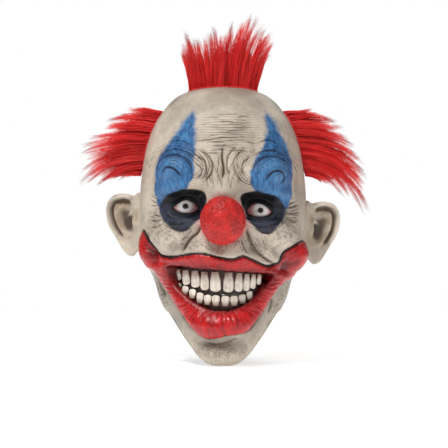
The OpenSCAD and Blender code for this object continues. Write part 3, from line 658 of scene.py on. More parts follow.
def skin_grid(fineness):
    """Rows and columns of the skin: close in the face, wide apart at the back."""
    def row_gap(s):
        return fineness * np.where(s < 3.0, 3.0, np.where(s < 4.2, 1.5, np.where(s > 15, 1.8, 1.0)))

    def column_gap(a):
        off = np.abs(a)
        return fineness * np.where(off < 66, 1.0, np.where(off < 100, 1.7, np.where(off > 172, 1.6, 7.0)))

    rows = spaced(lambda s: head_point(s, np.zeros_like(s)), 0.05, LAST, row_gap)
    columns = spaced(lambda a: head_point(np.full_like(a, 8.0), a), -180, 180, column_gap)[:-1]
    return rows, columns


def growth(gap, x, z, shape):
    """The direction in x and z in which a distance grows, from its change over the grid."""
    (gr, gc), (xr, xc), (zr, zc) = (np.gradient(v.reshape(shape)) for v in (gap, x, z))
    det = xr * zc - xc * zr
    det = np.where(np.abs(det) < 1e-6, 1e-6, det)
    gx, gz = (gr * zc - gc * zr) / det, (xr * gc - xc * gr) / det
    size = np.maximum(np.hypot(gx, gz), 1e-6)
    return (gx / size).ravel(), (gz / size).ravel()


def snap_to_edge(p, normal, gap, direction, reach):
    """Slides points that are near an opening's edge onto it, so that the edge comes out clean."""
    near = np.abs(gap) < reach
    shift = np.zeros_like(p)
    shift[:, 0] = -gap * direction[0]
    shift[:, 2] = -gap * direction[1]
    depth = np.where(normal[:, 1] < 0, -1, 1) * np.maximum(np.abs(normal[:, 1]), 0.3)
    shift[:, 1] = -(shift[:, 0] * normal[:, 0] + shift[:, 2] * normal[:, 2]) / depth
    return np.where(near[:, None], p + shift, p), np.where(near, 0, gap)


def trim(quads, gap):
    """Keeps the faces outside an opening. A quad with one corner inside it becomes a triangle."""
    inside = gap[quads] < 0
    count = inside.sum(1)
    whole = quads[(count == 0) & (gap[quads].max(1) > 0)]
    part = (count == 1) & (gap[quads].max(1) > 0)
    corner = inside[part].argmax(1)
    turn = (corner[:, None] + np.arange(1, 4)) % 4
    rest = np.take_along_axis(quads[part], turn, 1)
    return np.concatenate([whole, np.column_stack([rest, rest[:, 2]])])


def border_edges(faces):
    """Edges that only one face has, in that face's direction."""
    edges = np.concatenate([faces[:, [k, (k + 1) % 4]] for k in range(4)])
    edges = edges[edges[:, 0] != edges[:, 1]]
    key = np.sort(edges, axis=1)
    order = np.lexsort((key[:, 1], key[:, 0]))
    same = (key[order][1:] == key[order][:-1]).all(1)
    single = np.ones(len(order), bool)
    single[1:][same] = False
    single[:-1][same] = False
    return edges[order][single]


def eye_places():
    """Centre of each eye dome's sphere and its radius, in mm, the wearer's left first."""
    places = []
    for side in ("left", "right"):
        low, high = (np.array(v) * 1000 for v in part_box("eye_dome_" + side))
        places.append((np.array([(low[0] + high[0]) / 2, low[1] + EYE_R, (low[2] + high[2]) / 2]), EYE_R))
    return places


def nose_place():
    """Centre, radius and seat of the ball nose, in mm."""
    low, high = (np.array(v) * 1000 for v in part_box("ball_nose"))
    radius = (high[0] - low[0]) / 2
    return np.array([(low[0] + high[0]) / 2, low[1] + radius, (low[2] + high[2]) / 2]), radius, high[1]


def soft_masses(p, front):
    """Only the soft masses of the face, which the inside of the skin follows too."""
    x, z = p[..., 0], p[..., 2]
    return sum(blob(x, z, *row) for row in MASSES) * smooth((front - 0.02) / 0.2)


def skin_parts(fineness, depth):
    """Points, faces and paint values of the whole skin, outside, edges and inside."""
    rows, columns = skin_grid(fineness)
    s, a = np.meshgrid(rows, columns, indexing="ij")
    shape = s.shape
    base, normal = head_point(s, a).reshape(-1, 3), head_normal(s, a).reshape(-1, 3)
    front = -normal[:, 1]
    lift, masks = sculpt(base, front, depth)
    masks["front"] = front
    p = base + lift[:, None] * normal
    centre, nose_r, seat_y = nose_place()
    off_nose = np.hypot(base[:, 0], base[:, 2] - centre[2])
    p[:, 1] = mix(p[:, 1], seat_y, smooth((24 - off_nose) / 7) * (base[:, 1] < 0))
    lids = masks["lids"]
    for eye, radius in eye_places():
        off = (p[:, 0] - eye[0]) ** 2 + (p[:, 2] - eye[2]) ** 2
        lid = eye[1] - np.sqrt(np.maximum((radius + 1.3) ** 2 - off, 60))
        lid = lid - 1.6 * np.exp(-((lids - 1.53) / 1.53) ** 2)
        p[:, 1] = mix(p[:, 1], lid, smooth((7.2 - lids) / 6.7) * (off < 20 ** 2) * (base[:, 1] < 0))
    coats = paint(base, masks)
    ahead = base[:, 1] < 0
    x, z = masks["x"], masks["z"]
    slit_top = CROWN_Z - RIM_DROP * HEAD_H + SLIT_H
    slit = np.hypot(base[:, 0], np.maximum(base[:, 2] - slit_top, 0)) - SLIT_W / 2
    openings = [np.where(ahead, masks["mouth"], FAR_OFF), np.where(ahead, lids, EYE_REACH),
                np.where(ahead, FAR_OFF, slit)]
    quads = grid_faces(*shape, wrap=True)
    for i, gap in enumerate(openings):
        p, openings[i] = snap_to_edge(p, normal, gap, growth(gap, x, z, shape), 0.6 * fineness)
        quads = trim(quads, openings[i])
    points, faces, count = [p], [quads], len(p)
    values = {name: [v] for name, v in coats.items()}
    # within darkens the walls of the mouth and eye openings towards their depth: painted shade.
    values["inside"], values["within"] = [np.zeros(count)], [np.zeros(count)]
    edges = border_edges(quads)

    def wall(chosen, layers, inside):
        """Adds layers of points below some border edges."""
        nonlocal count
        used = np.unique(chosen)
        local = np.zeros(len(p), np.int64)
        local[used] = np.arange(len(used))
        e, previous = local[chosen], used
        for depth, place in layers(used):
            here = count + np.arange(len(used))
            points.append(place)
            faces.append(np.stack([previous[e[:, 1]], previous[e[:, 0]], here[e[:, 0]], here[e[:, 1]]], -1))
            for name in values:
                fixed = {"inside": inside, "within": depth}.get(name)
                values[name].append(coats[name][used] if fixed is None else np.full(len(used), float(fixed)))
            previous, count = here, count + len(used)

    def lip_layers(used):
        arm = p[used][:, :2] - [0, ARCH_Y]
        reach = np.linalg.norm(arm / [ARCH_A - 3.4, ARCH_B - 3.4], axis=1)
        for share in (0.1, 0.3, 0.6, 1.0):
            place = p[used].copy()
            place[:, :2] = [0, ARCH_Y] + arm * mix(1, 1 / reach, share)[:, None]
            yield share, place

    def lid_layers(used):
        place = p[used].copy()
        for share in (0.3, 1.0):
            there = place.copy()
            for eye, radius in eye_places():
                off = (place[:, 0] - eye[0]) ** 2 + (place[:, 2] - eye[2]) ** 2
                ball = eye[1] - np.sqrt(np.maximum((radius - 0.3) ** 2 - off, 20))
                there[:, 1] = np.where(off < 18 ** 2, mix(place[:, 1], ball, share), there[:, 1])
            yield share, there

    def edge_layers(used):
        yield 0.0, base[used] - SKIN_T * normal[used]

    wall(edges[(np.abs(openings[0][edges]) < 1.2).all(1)], lip_layers, 0)
    wall(edges[(np.abs(openings[1][edges]) < 1.2).all(1)], lid_layers, 0)
    at_rim = (edges >= (shape[0] - 1) * shape[1]).all(1)
    wall(edges[(openings[2][edges] < 3).all(1) | at_rim], edge_layers, 1)
    row_pick = np.unique(np.append(np.arange(0, shape[0], LINING_STEP), shape[0] - 1))
    column_pick = np.arange(0, shape[1], LINING_STEP)
    pick = (row_pick[:, None] * shape[1] + column_pick[None, :]).ravel()
    lining = grid_faces(len(row_pick), len(column_pick), wrap=True)
    clear = np.ones(len(lining), bool)
    for gap, room in zip(openings, (1.9, 2.9, 0.5)):
        clear &= gap[pick][lining].min(1) > room
    inner = base + (soft_masses(base, front) - SKIN_T - 2.0 * smooth((front - 0.2) / 0.3))[:, None] * normal
    points.append(inner[pick])
    faces.append(lining[clear][:, ::-1] + count)
    for name in values:
        values[name].append(np.full(len(pick), 1.0 if name == "inside" else 0.0))
    count += len(pick)
    points.append(head_point(np.array([0.0]), np.array([0.0])))
    first = np.arange(shape[1])
    after = np.roll(first, -1)
    faces.append(np.stack([np.full(shape[1], count), first, after, after], -1))
    for name in values:
        values[name].append(values[name][0][:1])
    values = {name: np.concatenate(layers) for name, layers in values.items()}
    return np.concatenate(points), np.concatenate(faces), values


# ---- Nose and eyes ----

def nose_parts(depth):
    """A hollow foam-like ball with a pebbled face, open where it sits on the skin."""
    centre, radius, seat_y = nose_place()
    seat = math.acos(-(seat_y - centre[1]) / radius)
    around = np.linspace(0, 2 * math.pi, 190, endpoint=False)
    t, f = np.meshgrid(np.linspace(0.004, seat, 120), around, indexing="ij")
    way = np.stack([np.sin(t) * np.sin(f), -np.cos(t), np.sin(t) * np.cos(f)], -1)
    q = way * radius
    pebble = cells(q, 2.5, 31)
    dents = smooth((0.42 - cells(q + 40, 4.6, 33)) / 0.3)
    lift = 1.15 * (0.62 - pebble) + 0.5 * noise(q, 8, 32) + 0.2 * noise(q, 1.5, 34) - 0.5 * dents
    lift = lift * smooth((seat - t) / 0.25) * depth
    outer = centre + (radius - 0.15 + lift)[..., None] * way * [1, 1, 1.05]
    inner = centre + (radius - 2) * way * [1, 1, 1.03]
    inner[-1] = outer[-1]
    outer_flat, inner_flat = outer.reshape(-1, 3), inner[::-1].reshape(-1, 3)
    points = np.concatenate([outer_flat, inner_flat])
    faces = grid_faces(2 * t.shape[0], t.shape[1], wrap=True)[:, ::-1]
    tip = len(points)
    points = np.concatenate([points, [outer[0].mean(0)]])
    n = t.shape[1]
    k = np.arange(n)
    cap = np.stack([np.full(n, tip), (k + 1) % n, k, k], -1)
    # Painted shade: the pits between the pebbles and the inside of the ball are painted darker.
    pits = np.clip(1.6 * (pebble - 0.45) + 1.2 * dents, 0, 1)
    value = np.concatenate([pits.ravel(), np.full(pits.size, 0.8), [0.2]])
    return points, np.concatenate([faces, cap]), {"pits": value}


def eye_parts(eye, radius, pupil_r, thick=1.5):
    """A thin dome with a round sight hole in its middle."""
    near, far = math.asin(pupil_r / radius), math.asin(0.86)
    t = np.concatenate([[near], np.linspace(near + 0.03, far, 40)])
    t, f = np.meshgrid(t, np.linspace(0, 2 * math.pi, 96, endpoint=False), indexing="ij")
    way = np.stack([np.sin(t) * np.sin(f), -np.cos(t), np.sin(t) * np.cos(f)], -1)
    outer = eye + (radius - 0.03) * way
    inner = eye + (radius - thick) * way
    ring = np.concatenate([outer.reshape(-1, 3), inner[::-1].reshape(-1, 3), outer[0]])
    faces = grid_faces(2 * t.shape[0] + 1, t.shape[1], wrap=True)[:, ::-1]
    off = radius * np.sin(t)
    rim = smooth((pupil_r + 0.8 - off) / 0.4)
    iris = smooth((pupil_r + 1.7 - off) / 0.8)
    veins = smooth((off - 5.5) / 4)
    n = off.size
    return ring, faces, {
        "pupil": np.concatenate([rim.ravel(), np.ones(n), np.ones(t.shape[1])]),
        "iris": np.concatenate([iris.ravel(), np.zeros(n), np.zeros(t.shape[1])]),
        "veins": np.concatenate([veins.ravel(), np.zeros(n), np.zeros(t.shape[1])])}


# ---- Teeth and gums ----
ARCH_A = 50.0    # half width of the curve that the teeth stand on
ARCH_B = 47.5    # its depth

# x, width, root z and edge z in mm, and tilt in degrees
UPPER_TEETH = [
    (-43.5, 5.36, -53.5, -63.5, 8), (-35.9, 6.99, -54, -67.4, 5), (-27.1, 8.33, -54.4, -69.8, 3),
    (-17.8, 8.23, -55.4, -72.2, 2), (-7.7, 10.43, -55.4, -73.6, 1), (5.4, 10.14, -55.9, -74.1, -1),
    (15.5, 7.85, -56.4, -73.6, -3), (23, 6.32, -57.3, -73.1, -4), (29.5, 5.65, -57.8, -71.2, -6),
    (35, 4.21, -57.8, -67.4, -8)]
LOWER_TEETH = [
    (-42.7, 4.21, -71.2, -65.5, -8), (-36.7, 5.74, -76, -68.3, -6), (-29.7, 6.32, -79.8, -71.2, -4),
    (-22.4, 6.70, -84.1, -74.5, -3), (-15, 7.18, -85.6, -76.5, -1), (-6.7, 7.75, -86.5, -76.9, 0),
    (2.3, 7.94, -87, -77.4, 1), (10.8, 7.66, -86.5, -77.4, 2), (18.9, 6.70, -84.6, -76, 5),
    (25.8, 5.93, -80.8, -73.1, 8)]


def arch_place(t, off):
    """x and y at angle t of the arch, off mm in front of the teeth's curve."""
    return (ARCH_A + off) * np.sin(t), ARCH_Y - (ARCH_B + off) * np.cos(t)


def tooth_parts(row, seed):
    """One rounded tooth. It is widest near its edge, and tapers into the gum."""
    x, width, root, edge, tilt = row
    t0 = math.asin(np.clip(x / (ARCH_A - 1), -0.98, 0.98))
    width = width / max(math.cos(t0), 0.62)
    height = edge - root
    tip_rows = 0.86 + 0.14 * np.sin(np.linspace(0.2, 1.0, 7) * math.pi / 2)
    v = np.concatenate([np.linspace(-0.04, 0.86, 20), tip_rows])
    f = np.linspace(0, 2 * math.pi, 30, endpoint=False)
    vv, ff = np.meshgrid(v, f, indexing="ij")
    body = 0.74 + 0.26 * smooth(vv / 0.55)
    end = np.sqrt(np.clip(1 - (np.maximum(vv - 0.84, 0) / 0.165) ** 2, 0.02, 1)) ** 0.8
    across = np.sign(np.cos(ff)) * np.abs(np.cos(ff)) ** 0.65 * body * end * width / 2
    through = np.sign(np.sin(ff)) * np.abs(np.sin(ff)) ** 0.85 * mix(1.9, 1.15, smooth(vv)) * end
    rng = np.random.default_rng(seed)
    across = across + 0.35 * rng.uniform(-1, 1) * vv * width * 0.12
    q = np.stack([across, through, vv * height], -1) + rng.uniform(0, 60, 3)
    wear = 0.3 * noise(q, 3.2, 41) + 0.14 * noise(q * [1, 1, 0.22], 0.9, 42)
    through = through + np.where(np.sin(ff) > 0, wear, 0)
    down = vv * height - 0.5 * np.sign(height) * (across / width * 2) ** 2 * smooth(vv / 0.8)
    lean = math.radians(tilt + rng.uniform(-2, 2))
    u = across * math.cos(lean) - down * math.sin(lean) * 0.6
    w = across * math.sin(lean) + down * math.cos(lean)
    cx, cy = arch_place(t0, -1.6)
    way = np.array([math.sin(t0 * 0.9), -math.cos(t0 * 0.9)])
    side = np.array([-way[1], way[0]])
    bow = -0.06 * u ** 2 / 4
    ahead = through + bow
    points = np.stack([cx + u * side[0] + ahead * way[0], cy + u * side[1] + ahead * way[1], root + w], -1)
    flat = points.reshape(-1, 3)
    faces = grid_faces(len(v), len(f), wrap=True)
    if height > 0:
        faces = faces[:, ::-1]
    tip = len(flat)
    k = np.arange(len(f))
    last = (len(v) - 1) * len(f)
    cap = np.stack([np.full(len(f), tip), last + (k + 1) % len(f), last + k, last + k], -1)
    if height > 0:
        cap = cap[:, [0, 2, 1, 1]]
    flat = np.concatenate([flat, [points[-1].mean(0)]])
    # Darker brown on each tooth's sides, towards its neighbours.
    at_sides = smooth((np.abs(np.cos(ff)) - 0.86) / 0.14) * (1 - 0.5 * vv)
    stain = np.clip(0.85 * np.clip(1 - vv * 1.9, 0, 1) + 0.85 * at_sides + 0.3 * wear, 0, 1)
    return flat, np.concatenate([faces, cap]), {
        "stain": np.append(stain.ravel(), 0.1), "edge": np.append(vv.ravel(), 1.0)}


def gum_parts(upper):
    """The curved plate that a row of teeth stands on, swollen round each root."""
    rows = UPPER_TEETH if upper else LOWER_TEETH
    node = "upper_gum" if upper else "lower_gum"
    low, high = (np.array(v) * 1000 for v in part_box(node))
    t = np.radians(np.linspace(-70, 70, 150))
    share = np.linspace(0, 1, 30)
    tt, vv = np.meshgrid(t, share, indexing="xy")
    slope = -math.tan(math.radians(4.0))
    x, _ = arch_place(tt, -3.4)
    bite = -76.5
    top = (-48.0 if upper else bite - 0.3) + slope * x
    bottom = (bite + 0.3 if upper else -96.0) + slope * x
    z = mix(top, bottom, vv)
    z = np.clip(z, low[2], high[2])
    swell = np.zeros(z.shape)
    for tx, width, root, edge, _ in rows:
        cz = mix(root, edge, 0.22)
        swell += 1.1 * np.exp(-((x - tx) / (0.52 * width)) ** 2 - ((z - cz) / 4.0) ** 2)
        swell -= 0.7 * np.exp(-((x - tx) / (0.37 * width)) ** 2 - ((z - edge) / 5.0) ** 2)
    q = np.stack([x, z, z * 0], -1)
    swell += 0.3 * noise(q, 4, 51) + 0.12 * noise(q, 1.4, 52)
    ox, oy = arch_place(tt, -3.4 + swell)
    ix, iy = arch_place(tt, -5.8)
    points, faces = closed_sheet(np.stack([ox, oy, z], -1), np.stack([ix, iy, z], -1))
    # Painted shade: the gums' colour follows their swelling, near black where they sink.
    value = np.concatenate([np.clip(swell / 1.2, 0, 1).ravel(), np.zeros(z.size)])
    return points, faces, {"swell": value}


# ---- Ears ----
EAR_W = 32.0
EAR_H = 58.0
EAR_SWEEP = 28.0

# Outline and lines in the ear's own plane as shares of its width and height, root at 0.
EAR_EDGE = [[-0.30, 0.09], [-0.04, 0.12], [0.18, 0.16], [0.47, 0.178], [0.78, 0.13], [0.97, -0.03],
            [0.99, -0.23], [0.89, -0.43], [0.73, -0.60], [0.58, -0.75], [0.41, -0.88], [0.2, -0.92],
            [0.0, -0.85], [-0.30, -0.8]]
EAR_FOLD = [[0.52, 0.04], [0.64, -0.06], [0.67, -0.20], [0.60, -0.34], [0.47, -0.47], [0.36, -0.56]]
EAR_FORK = [[0.34, -0.02], [0.50, -0.08], [0.62, -0.18]]
EAR_CRUS = [[0.02, -0.16], [0.20, -0.20], [0.36, -0.25]]
EAR_HELIX = [[-0.04, 0.06], [0.12, 0.11], [0.28, 0.135], [0.47, 0.14], [0.75, 0.09], [0.90, -0.04],
             [0.92, -0.22], [0.83, -0.41], [0.68, -0.57]]


def ear_parts(side, depth):
    """A sculpted ear: rolled helix, forked fold, bowl, tragus and lobe. Its root runs into the head."""
    joint = JOINTS[("left" if side > 0 else "right") + "_ear_flex"]
    pivot = np.array(joint["pos_m"]) * 1000
    axis = np.array(joint["axis"]) * side
    lean = math.atan2(abs(axis[0]), abs(axis[2]))
    size = np.array([EAR_W, EAR_H])
    edge = smooth_loop(EAR_EDGE, 12) * size
    count = len(edge)
    centre = np.array([0.38, -0.36]) * size
    rim_rows = 0.85 + 0.15 * np.sin(np.linspace(0, 1, 13)[1:] * math.pi / 2)
    share = np.concatenate([np.linspace(0, 0.85, 34), rim_rows])
    k, n = np.meshgrid(share, np.arange(count), indexing="ij")
    plane = centre + k[..., None] * (edge[n] - centre)
    u, v = plane[..., 0].ravel(), plane[..., 1].ravel()
    closed = np.concatenate([edge, edge[:1]])
    off_edge, _ = line_distance(u, v, closed, 40)
    outer = smooth((u - 1) / 5)

    def ridge(line, width, height):
        distance, along = line_distance(u, v, smooth_line(line) * size, 4 * width)
        fade = smooth(6 * along) * smooth(6 * (1 - along))
        return height * np.exp(-(distance / width) ** 2) * fade * (distance < 4 * width)

    def hump(cu, cv, ru, rv, height):
        return blob(u, v, cu * EAR_W, cv * EAR_H, ru, rv, height)

    helix = ridge(EAR_HELIX, 2.3, 4.2)
    groove = -2.7 * np.exp(-((off_edge - 7.0) / 2.5) ** 2) * outer * smooth((v + 0.62 * EAR_H) / 8)
    front = (helix + groove
             + ridge(EAR_FOLD, 2.4, 3.2) + ridge(EAR_FORK, 1.5, 1.3) + ridge(EAR_CRUS, 1.7, 2.2)
             + hump(0.27, -0.32, 6.0, 9.5, -6.0) + hump(0.45, -0.16, 4.0, 5, -1.8)
             + hump(0.04, -0.34, 3.0, 4.4, 4.0) + hump(0.30, -0.56, 4.0, 3.0, 2.4)
             + hump(0.34, -0.76, 6.5, 8.5, 2.2))
    q = np.stack([u, v, u * 0 + 9 * side], -1)
    front = front * depth + 0.35 * noise(q, 5, 61) + 0.16 * noise(q, 2, 62)
    edge_round = np.sqrt(np.clip(1 - (1 - np.clip(off_edge / 2.6, 0, 1)) ** 2, 0, 1))
    middle = 1.2 * smooth((12 - off_edge) / 12) - 0.4
    thick = 1.5 + 0.6 * smooth((8 - u) / 8)
    ahead = middle + (thick + front) * edge_round
    behind = middle - (thick + 0.6 * helix - 0.3 * np.minimum(front, 0)) * edge_round
    ahead = np.maximum(ahead, behind + 1.2 * edge_round)

    def place(w):
        local = np.stack([u, -w, v], -1)
        turn, tip = math.radians(EAR_SWEEP), lean
        x = local[:, 0] * math.cos(turn) - local[:, 1] * math.sin(turn)
        y = local[:, 0] * math.sin(turn) + local[:, 1] * math.cos(turn)
        z = local[:, 2]
        x, z = x * math.cos(tip) + z * math.sin(tip), -x * math.sin(tip) + z * math.cos(tip)
        return np.stack([side * (abs(pivot[0]) + x), pivot[1] + y, pivot[2] + z], -1)

    points = np.concatenate([place(ahead), place(behind)])
    quads = grid_faces(len(share), count, wrap=True)
    inner = len(share) * count
    last = (len(share) - 1) * count
    m = np.arange(count)
    seam = np.stack([last + (m + 1) % count, last + m, inner + last + m, inner + last + (m + 1) % count], -1)
    faces = np.concatenate([quads, quads[:, ::-1] + inner, seam])
    if (edge[1] - edge[0])[0] * (edge[0] - centre)[1] - (edge[1] - edge[0])[1] * (edge[0] - centre)[0] > 0:
        faces = faces[:, ::-1]
    if side > 0:
        faces = faces[:, ::-1]
    # Painted shade and highlight: brown down the hollows and the groove with a quarter of it on the back,
    # black in the bowl, and paler on the helix.
    hollow = smooth((0.8 - front) / 5.0)
    rim = np.clip(0.35 + 0.3 * noise(q, 8, 63), 0, 1)
    in_groove = smooth(-groove / 2.6) * (0.7 + 0.5 * noise(q, 6, 65))
    wash = np.clip(1.25 * hollow + 0.7 * in_groove + 0.35 * rim - 0.12, 0, 1)
    tan = smooth(0.45 + 1.3 * noise(q, 7, 64)) * smooth((off_edge - 3) / 4) * smooth((v + 0.7 * EAR_H) / 10)
    back = np.zeros(len(wash))
    return points, faces, {"wash": np.concatenate([wash, back + 0.25]), "tan": np.concatenate([tan, back]),
                           "crests": np.concatenate([smooth(helix / 3.5), back]),
                           "bowl": np.concatenate([smooth((-front - 1.6) / 3), back])}


# ---- Hair ----
# Where the locks of each tuft end, from one end of its root to the other: [along, out] in mm from
# the middle of the root, along towards the wearer's left on top and downwards on the sides.
TOP_TIPS = [[-41, 34], [-40, 53], [-27, 50], [-14, 57], [0, 62], [13, 66], [30, 78], [36, 60], [56, 57],
            [47, 38]]
LEFT_TIPS = [[-24, 27], [-10, 44], [8, 51], [26, 57], [48, 57], [70, 54], [90, 44], [66, 27], [44, 12]]
RIGHT_TIPS = [[-30, 24], [-14, 43], [0, 52], [16, 59], [34, 61], [50, 57], [58, 46], [52, 28], [36, 12]]


def tuft_frame(name):
    """Origin on the skin and the directions along, through and out of a tuft, with its pivot's height."""
    joint = JOINTS[name + "_tuft_sway"]
    pivot = np.array(joint["pos_m"]) * 1000
    if name == "top":
        along, through, out = np.eye(3)
        off = pivot[2] - CROWN_Z
    else:
        along = np.array(joint["axis"], float)
        through = np.array([0.0, 1.0, 0.0])
        out = np.array([np.sign(pivot[0]) * abs(along[2]), 0.0, abs(along[0])])
        off = 10.1
    return pivot - off * out, along, through, out, off


def root_height(name, across, through, half):
    """How far below the tuft's own plane the skin lies at a place on its root."""
    if name == "top":
        plan = np.hypot(across / (HEAD_W / 2), (through + 2) / (HEAD_D / 2))
        return -np.interp(plan, STATIONS[:9, 2], STATIONS[:9, 0]) * HEAD_H
    return -1.2 * (across / half) ** 2 - 0.5


def hair_parts(name, tips, count, thick, seed, half):
    """Strands in locks. Each lock starts spread over the root and gathers into a point."""
    rng = np.random.default_rng(seed)
    origin, along, through, out, off = tuft_frame(name)
    rows = np.array(tips, float)
    locks = 74
    place = np.linspace(-1, 1, locks) + rng.uniform(-0.03, 0.03, locks)
    rng.shuffle(place)
    depth = rng.uniform(-1, 1, locks)
    reach = np.where(rng.random(locks) < 0.45, rng.uniform(0.86, 1.05, locks), rng.uniform(0.55, 0.88, locks))
    target = curve_rows(rows, (np.clip(place, -1, 1) + 1) / 2 * (len(rows) - 1))
    sway = rng.normal(0, 1, (locks, 3))
    lock = rng.integers(0, locks, count)
    under = rng.random(count) < 0.42
    a = np.clip(1.05 * place[lock] + rng.normal(0, 0.055, count), -1.04, 1.04)
    d = np.clip(depth[lock] * 0.75 + rng.normal(0, 0.3, count), -1, 1)
    root_a = a * half
    root_d = d * (11.0 if name == "top" else 15.0) * np.sqrt(np.clip(1 - 0.6 * a * a, 0.1, 1))
    share = np.where(under, rng.uniform(0.36, 0.62, count), reach[lock] * rng.uniform(0.86, 1.0, count))
    own = curve_rows(rows, (a + 1) / 2 * (len(rows) - 1))
    goal = mix(target[lock], own, np.where(under, 0.8, 0.28)[:, None])
    tip_a, tip_o = goal[:, 0], goal[:, 1]
    spread = rng.normal(0, 1, (count, 2)) * np.where(under, 2.6, 1.1)[:, None]
    base_o = root_height(name, root_a, root_d, half) - 1.0
    segments = 7
    t = np.linspace(0, 1, segments + 1)[None, :, None] * share[:, None, None]
    p0 = np.stack([root_a, root_d, base_o], -1)[:, None]
    length = np.hypot(tip_a - root_a, tip_o)
    lift = 0.55 if name == "top" else 0.50
    p1 = np.stack([root_a + (tip_a - root_a) * 0.22, root_d * 1.05, base_o + length * lift], -1)[:, None]
    fan = np.stack([spread[:, 0], depth[lock] * 17 + 6 * sway[lock, 1] + spread[:, 1], np.zeros(count)], -1)
    p2 = np.stack([tip_a, root_d * 0.4, tip_o], -1)[:, None] + fan[:, None]
    line = (1 - t) ** 2 * p0 + 2 * t * (1 - t) * p1 + t * t * p2
    wave = (2.3 * np.sin(t * 5.0 + 3 * sway[lock][:, None, :1]) * np.sin(t * math.pi * 0.5) * t
            + 0.5 * np.sin(t * 17 + rng.uniform(0, 6, (count, 1, 1))) * t)
    line = line + wave * np.stack([np.ones(count), sway[lock, 2], np.zeros(count)], -1)[:, None]
    frame = np.stack([along, through, out])
    world = origin + line @ frame
    tangent = unit(np.gradient(world, axis=1))
    side = unit(np.cross(tangent, rng.normal(0, 1, (count, 1, 3))))
    up = np.cross(tangent, side)
    width = thick * rng.uniform(0.7, 1.2, (count, 1)) * (1 - 0.8 * np.linspace(0, 1, segments + 1) ** 2.2)
    rings = []
    for k in range(3):
        turn = 2 * math.pi * k / 3
        rings.append(world + width[..., None] / 2 * (math.cos(turn) * side + math.sin(turn) * up))
    points = np.stack(rings, 2).reshape(-1, 3)
    base = np.arange(count)[:, None, None] * (segments + 1) * 3
    r = np.arange(segments)[None, :, None] * 3
    c = np.arange(3)[None, None, :]
    n = (c + 1) % 3
    quads = np.stack([base + r + c, base + r + n, base + r + 3 + n, base + r + 3 + c], -1).reshape(-1, 4)
    tip = np.broadcast_to(t[..., 0, None], (count, segments + 1, 3)).reshape(-1)
    tone = 0.6 * rng.uniform(0, 1, count) + 0.4 * rng.uniform(0, 1, locks)[lock]
    tone = np.repeat(tone, 3 * (segments + 1))
    return points, quads, {"tip": tip, "tone": tone}


def backing_parts(name):
    """The thin stitched patch that a tuft is tied through, lying on the skin."""
    if name == "top":
        low, high = (np.array(v) * 1000 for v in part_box("top_tuft_backing"))
        half_w, half_d = (high[0] - low[0]) / 2 - 0.3, (high[1] - low[1]) / 2 - 0.3
        u, v = np.meshgrid(np.linspace(-1, 1, 90), np.linspace(1, -1, 36), indexing="xy")
        x, y = u * half_w, (low[1] + high[1]) / 2 + v * half_d * np.sqrt(1 - 0.7 * u * u)
        plan = np.hypot(x / (HEAD_W / 2), y / (HEAD_D / 2))
        fine = curve_rows(STATIONS, np.linspace(0, 6, 400))
        z = CROWN_Z - np.interp(plan, fine[:, 2], fine[:, 0]) * HEAD_H
        skin = np.stack([x, y, z], -1)
        normal = unit(np.stack([x * 0.004, y * 0.003, np.ones_like(x)], -1))
    else:
        side = 1 if name == "left" else -1
        t, v = np.meshgrid(np.linspace(-1, 1, 90), np.linspace(-1, 1, 36), indexing="ij")
        ends = [np.interp(d, STATIONS[:, 1], np.arange(len(STATIONS))) for d in (0.096, 0.307)]
        s = mix(ends[0], ends[1], (t + 1) / 2)
        a = side * 98 + 9.5 * v * np.sqrt(1 - 0.7 * t * t)
        skin, normal = head_point(s, a), head_normal(s, a)
        u = v
    weave = 0.16 * np.sin(skin[..., 1] * 5.2) * np.sin((skin[..., 2] + skin[..., 0]) * 5.2)
    outer = skin + (1.25 + weave)[..., None] * normal
    points, faces = closed_sheet(outer, skin - 0.2 * normal)
    # Painted shade: the weave's height sets its colour, darker red in its low points.
    return points, faces, {"weave": np.concatenate([0.5 + 3 * weave.ravel(), np.zeros(weave.size)])}


# ---- Finishes ----

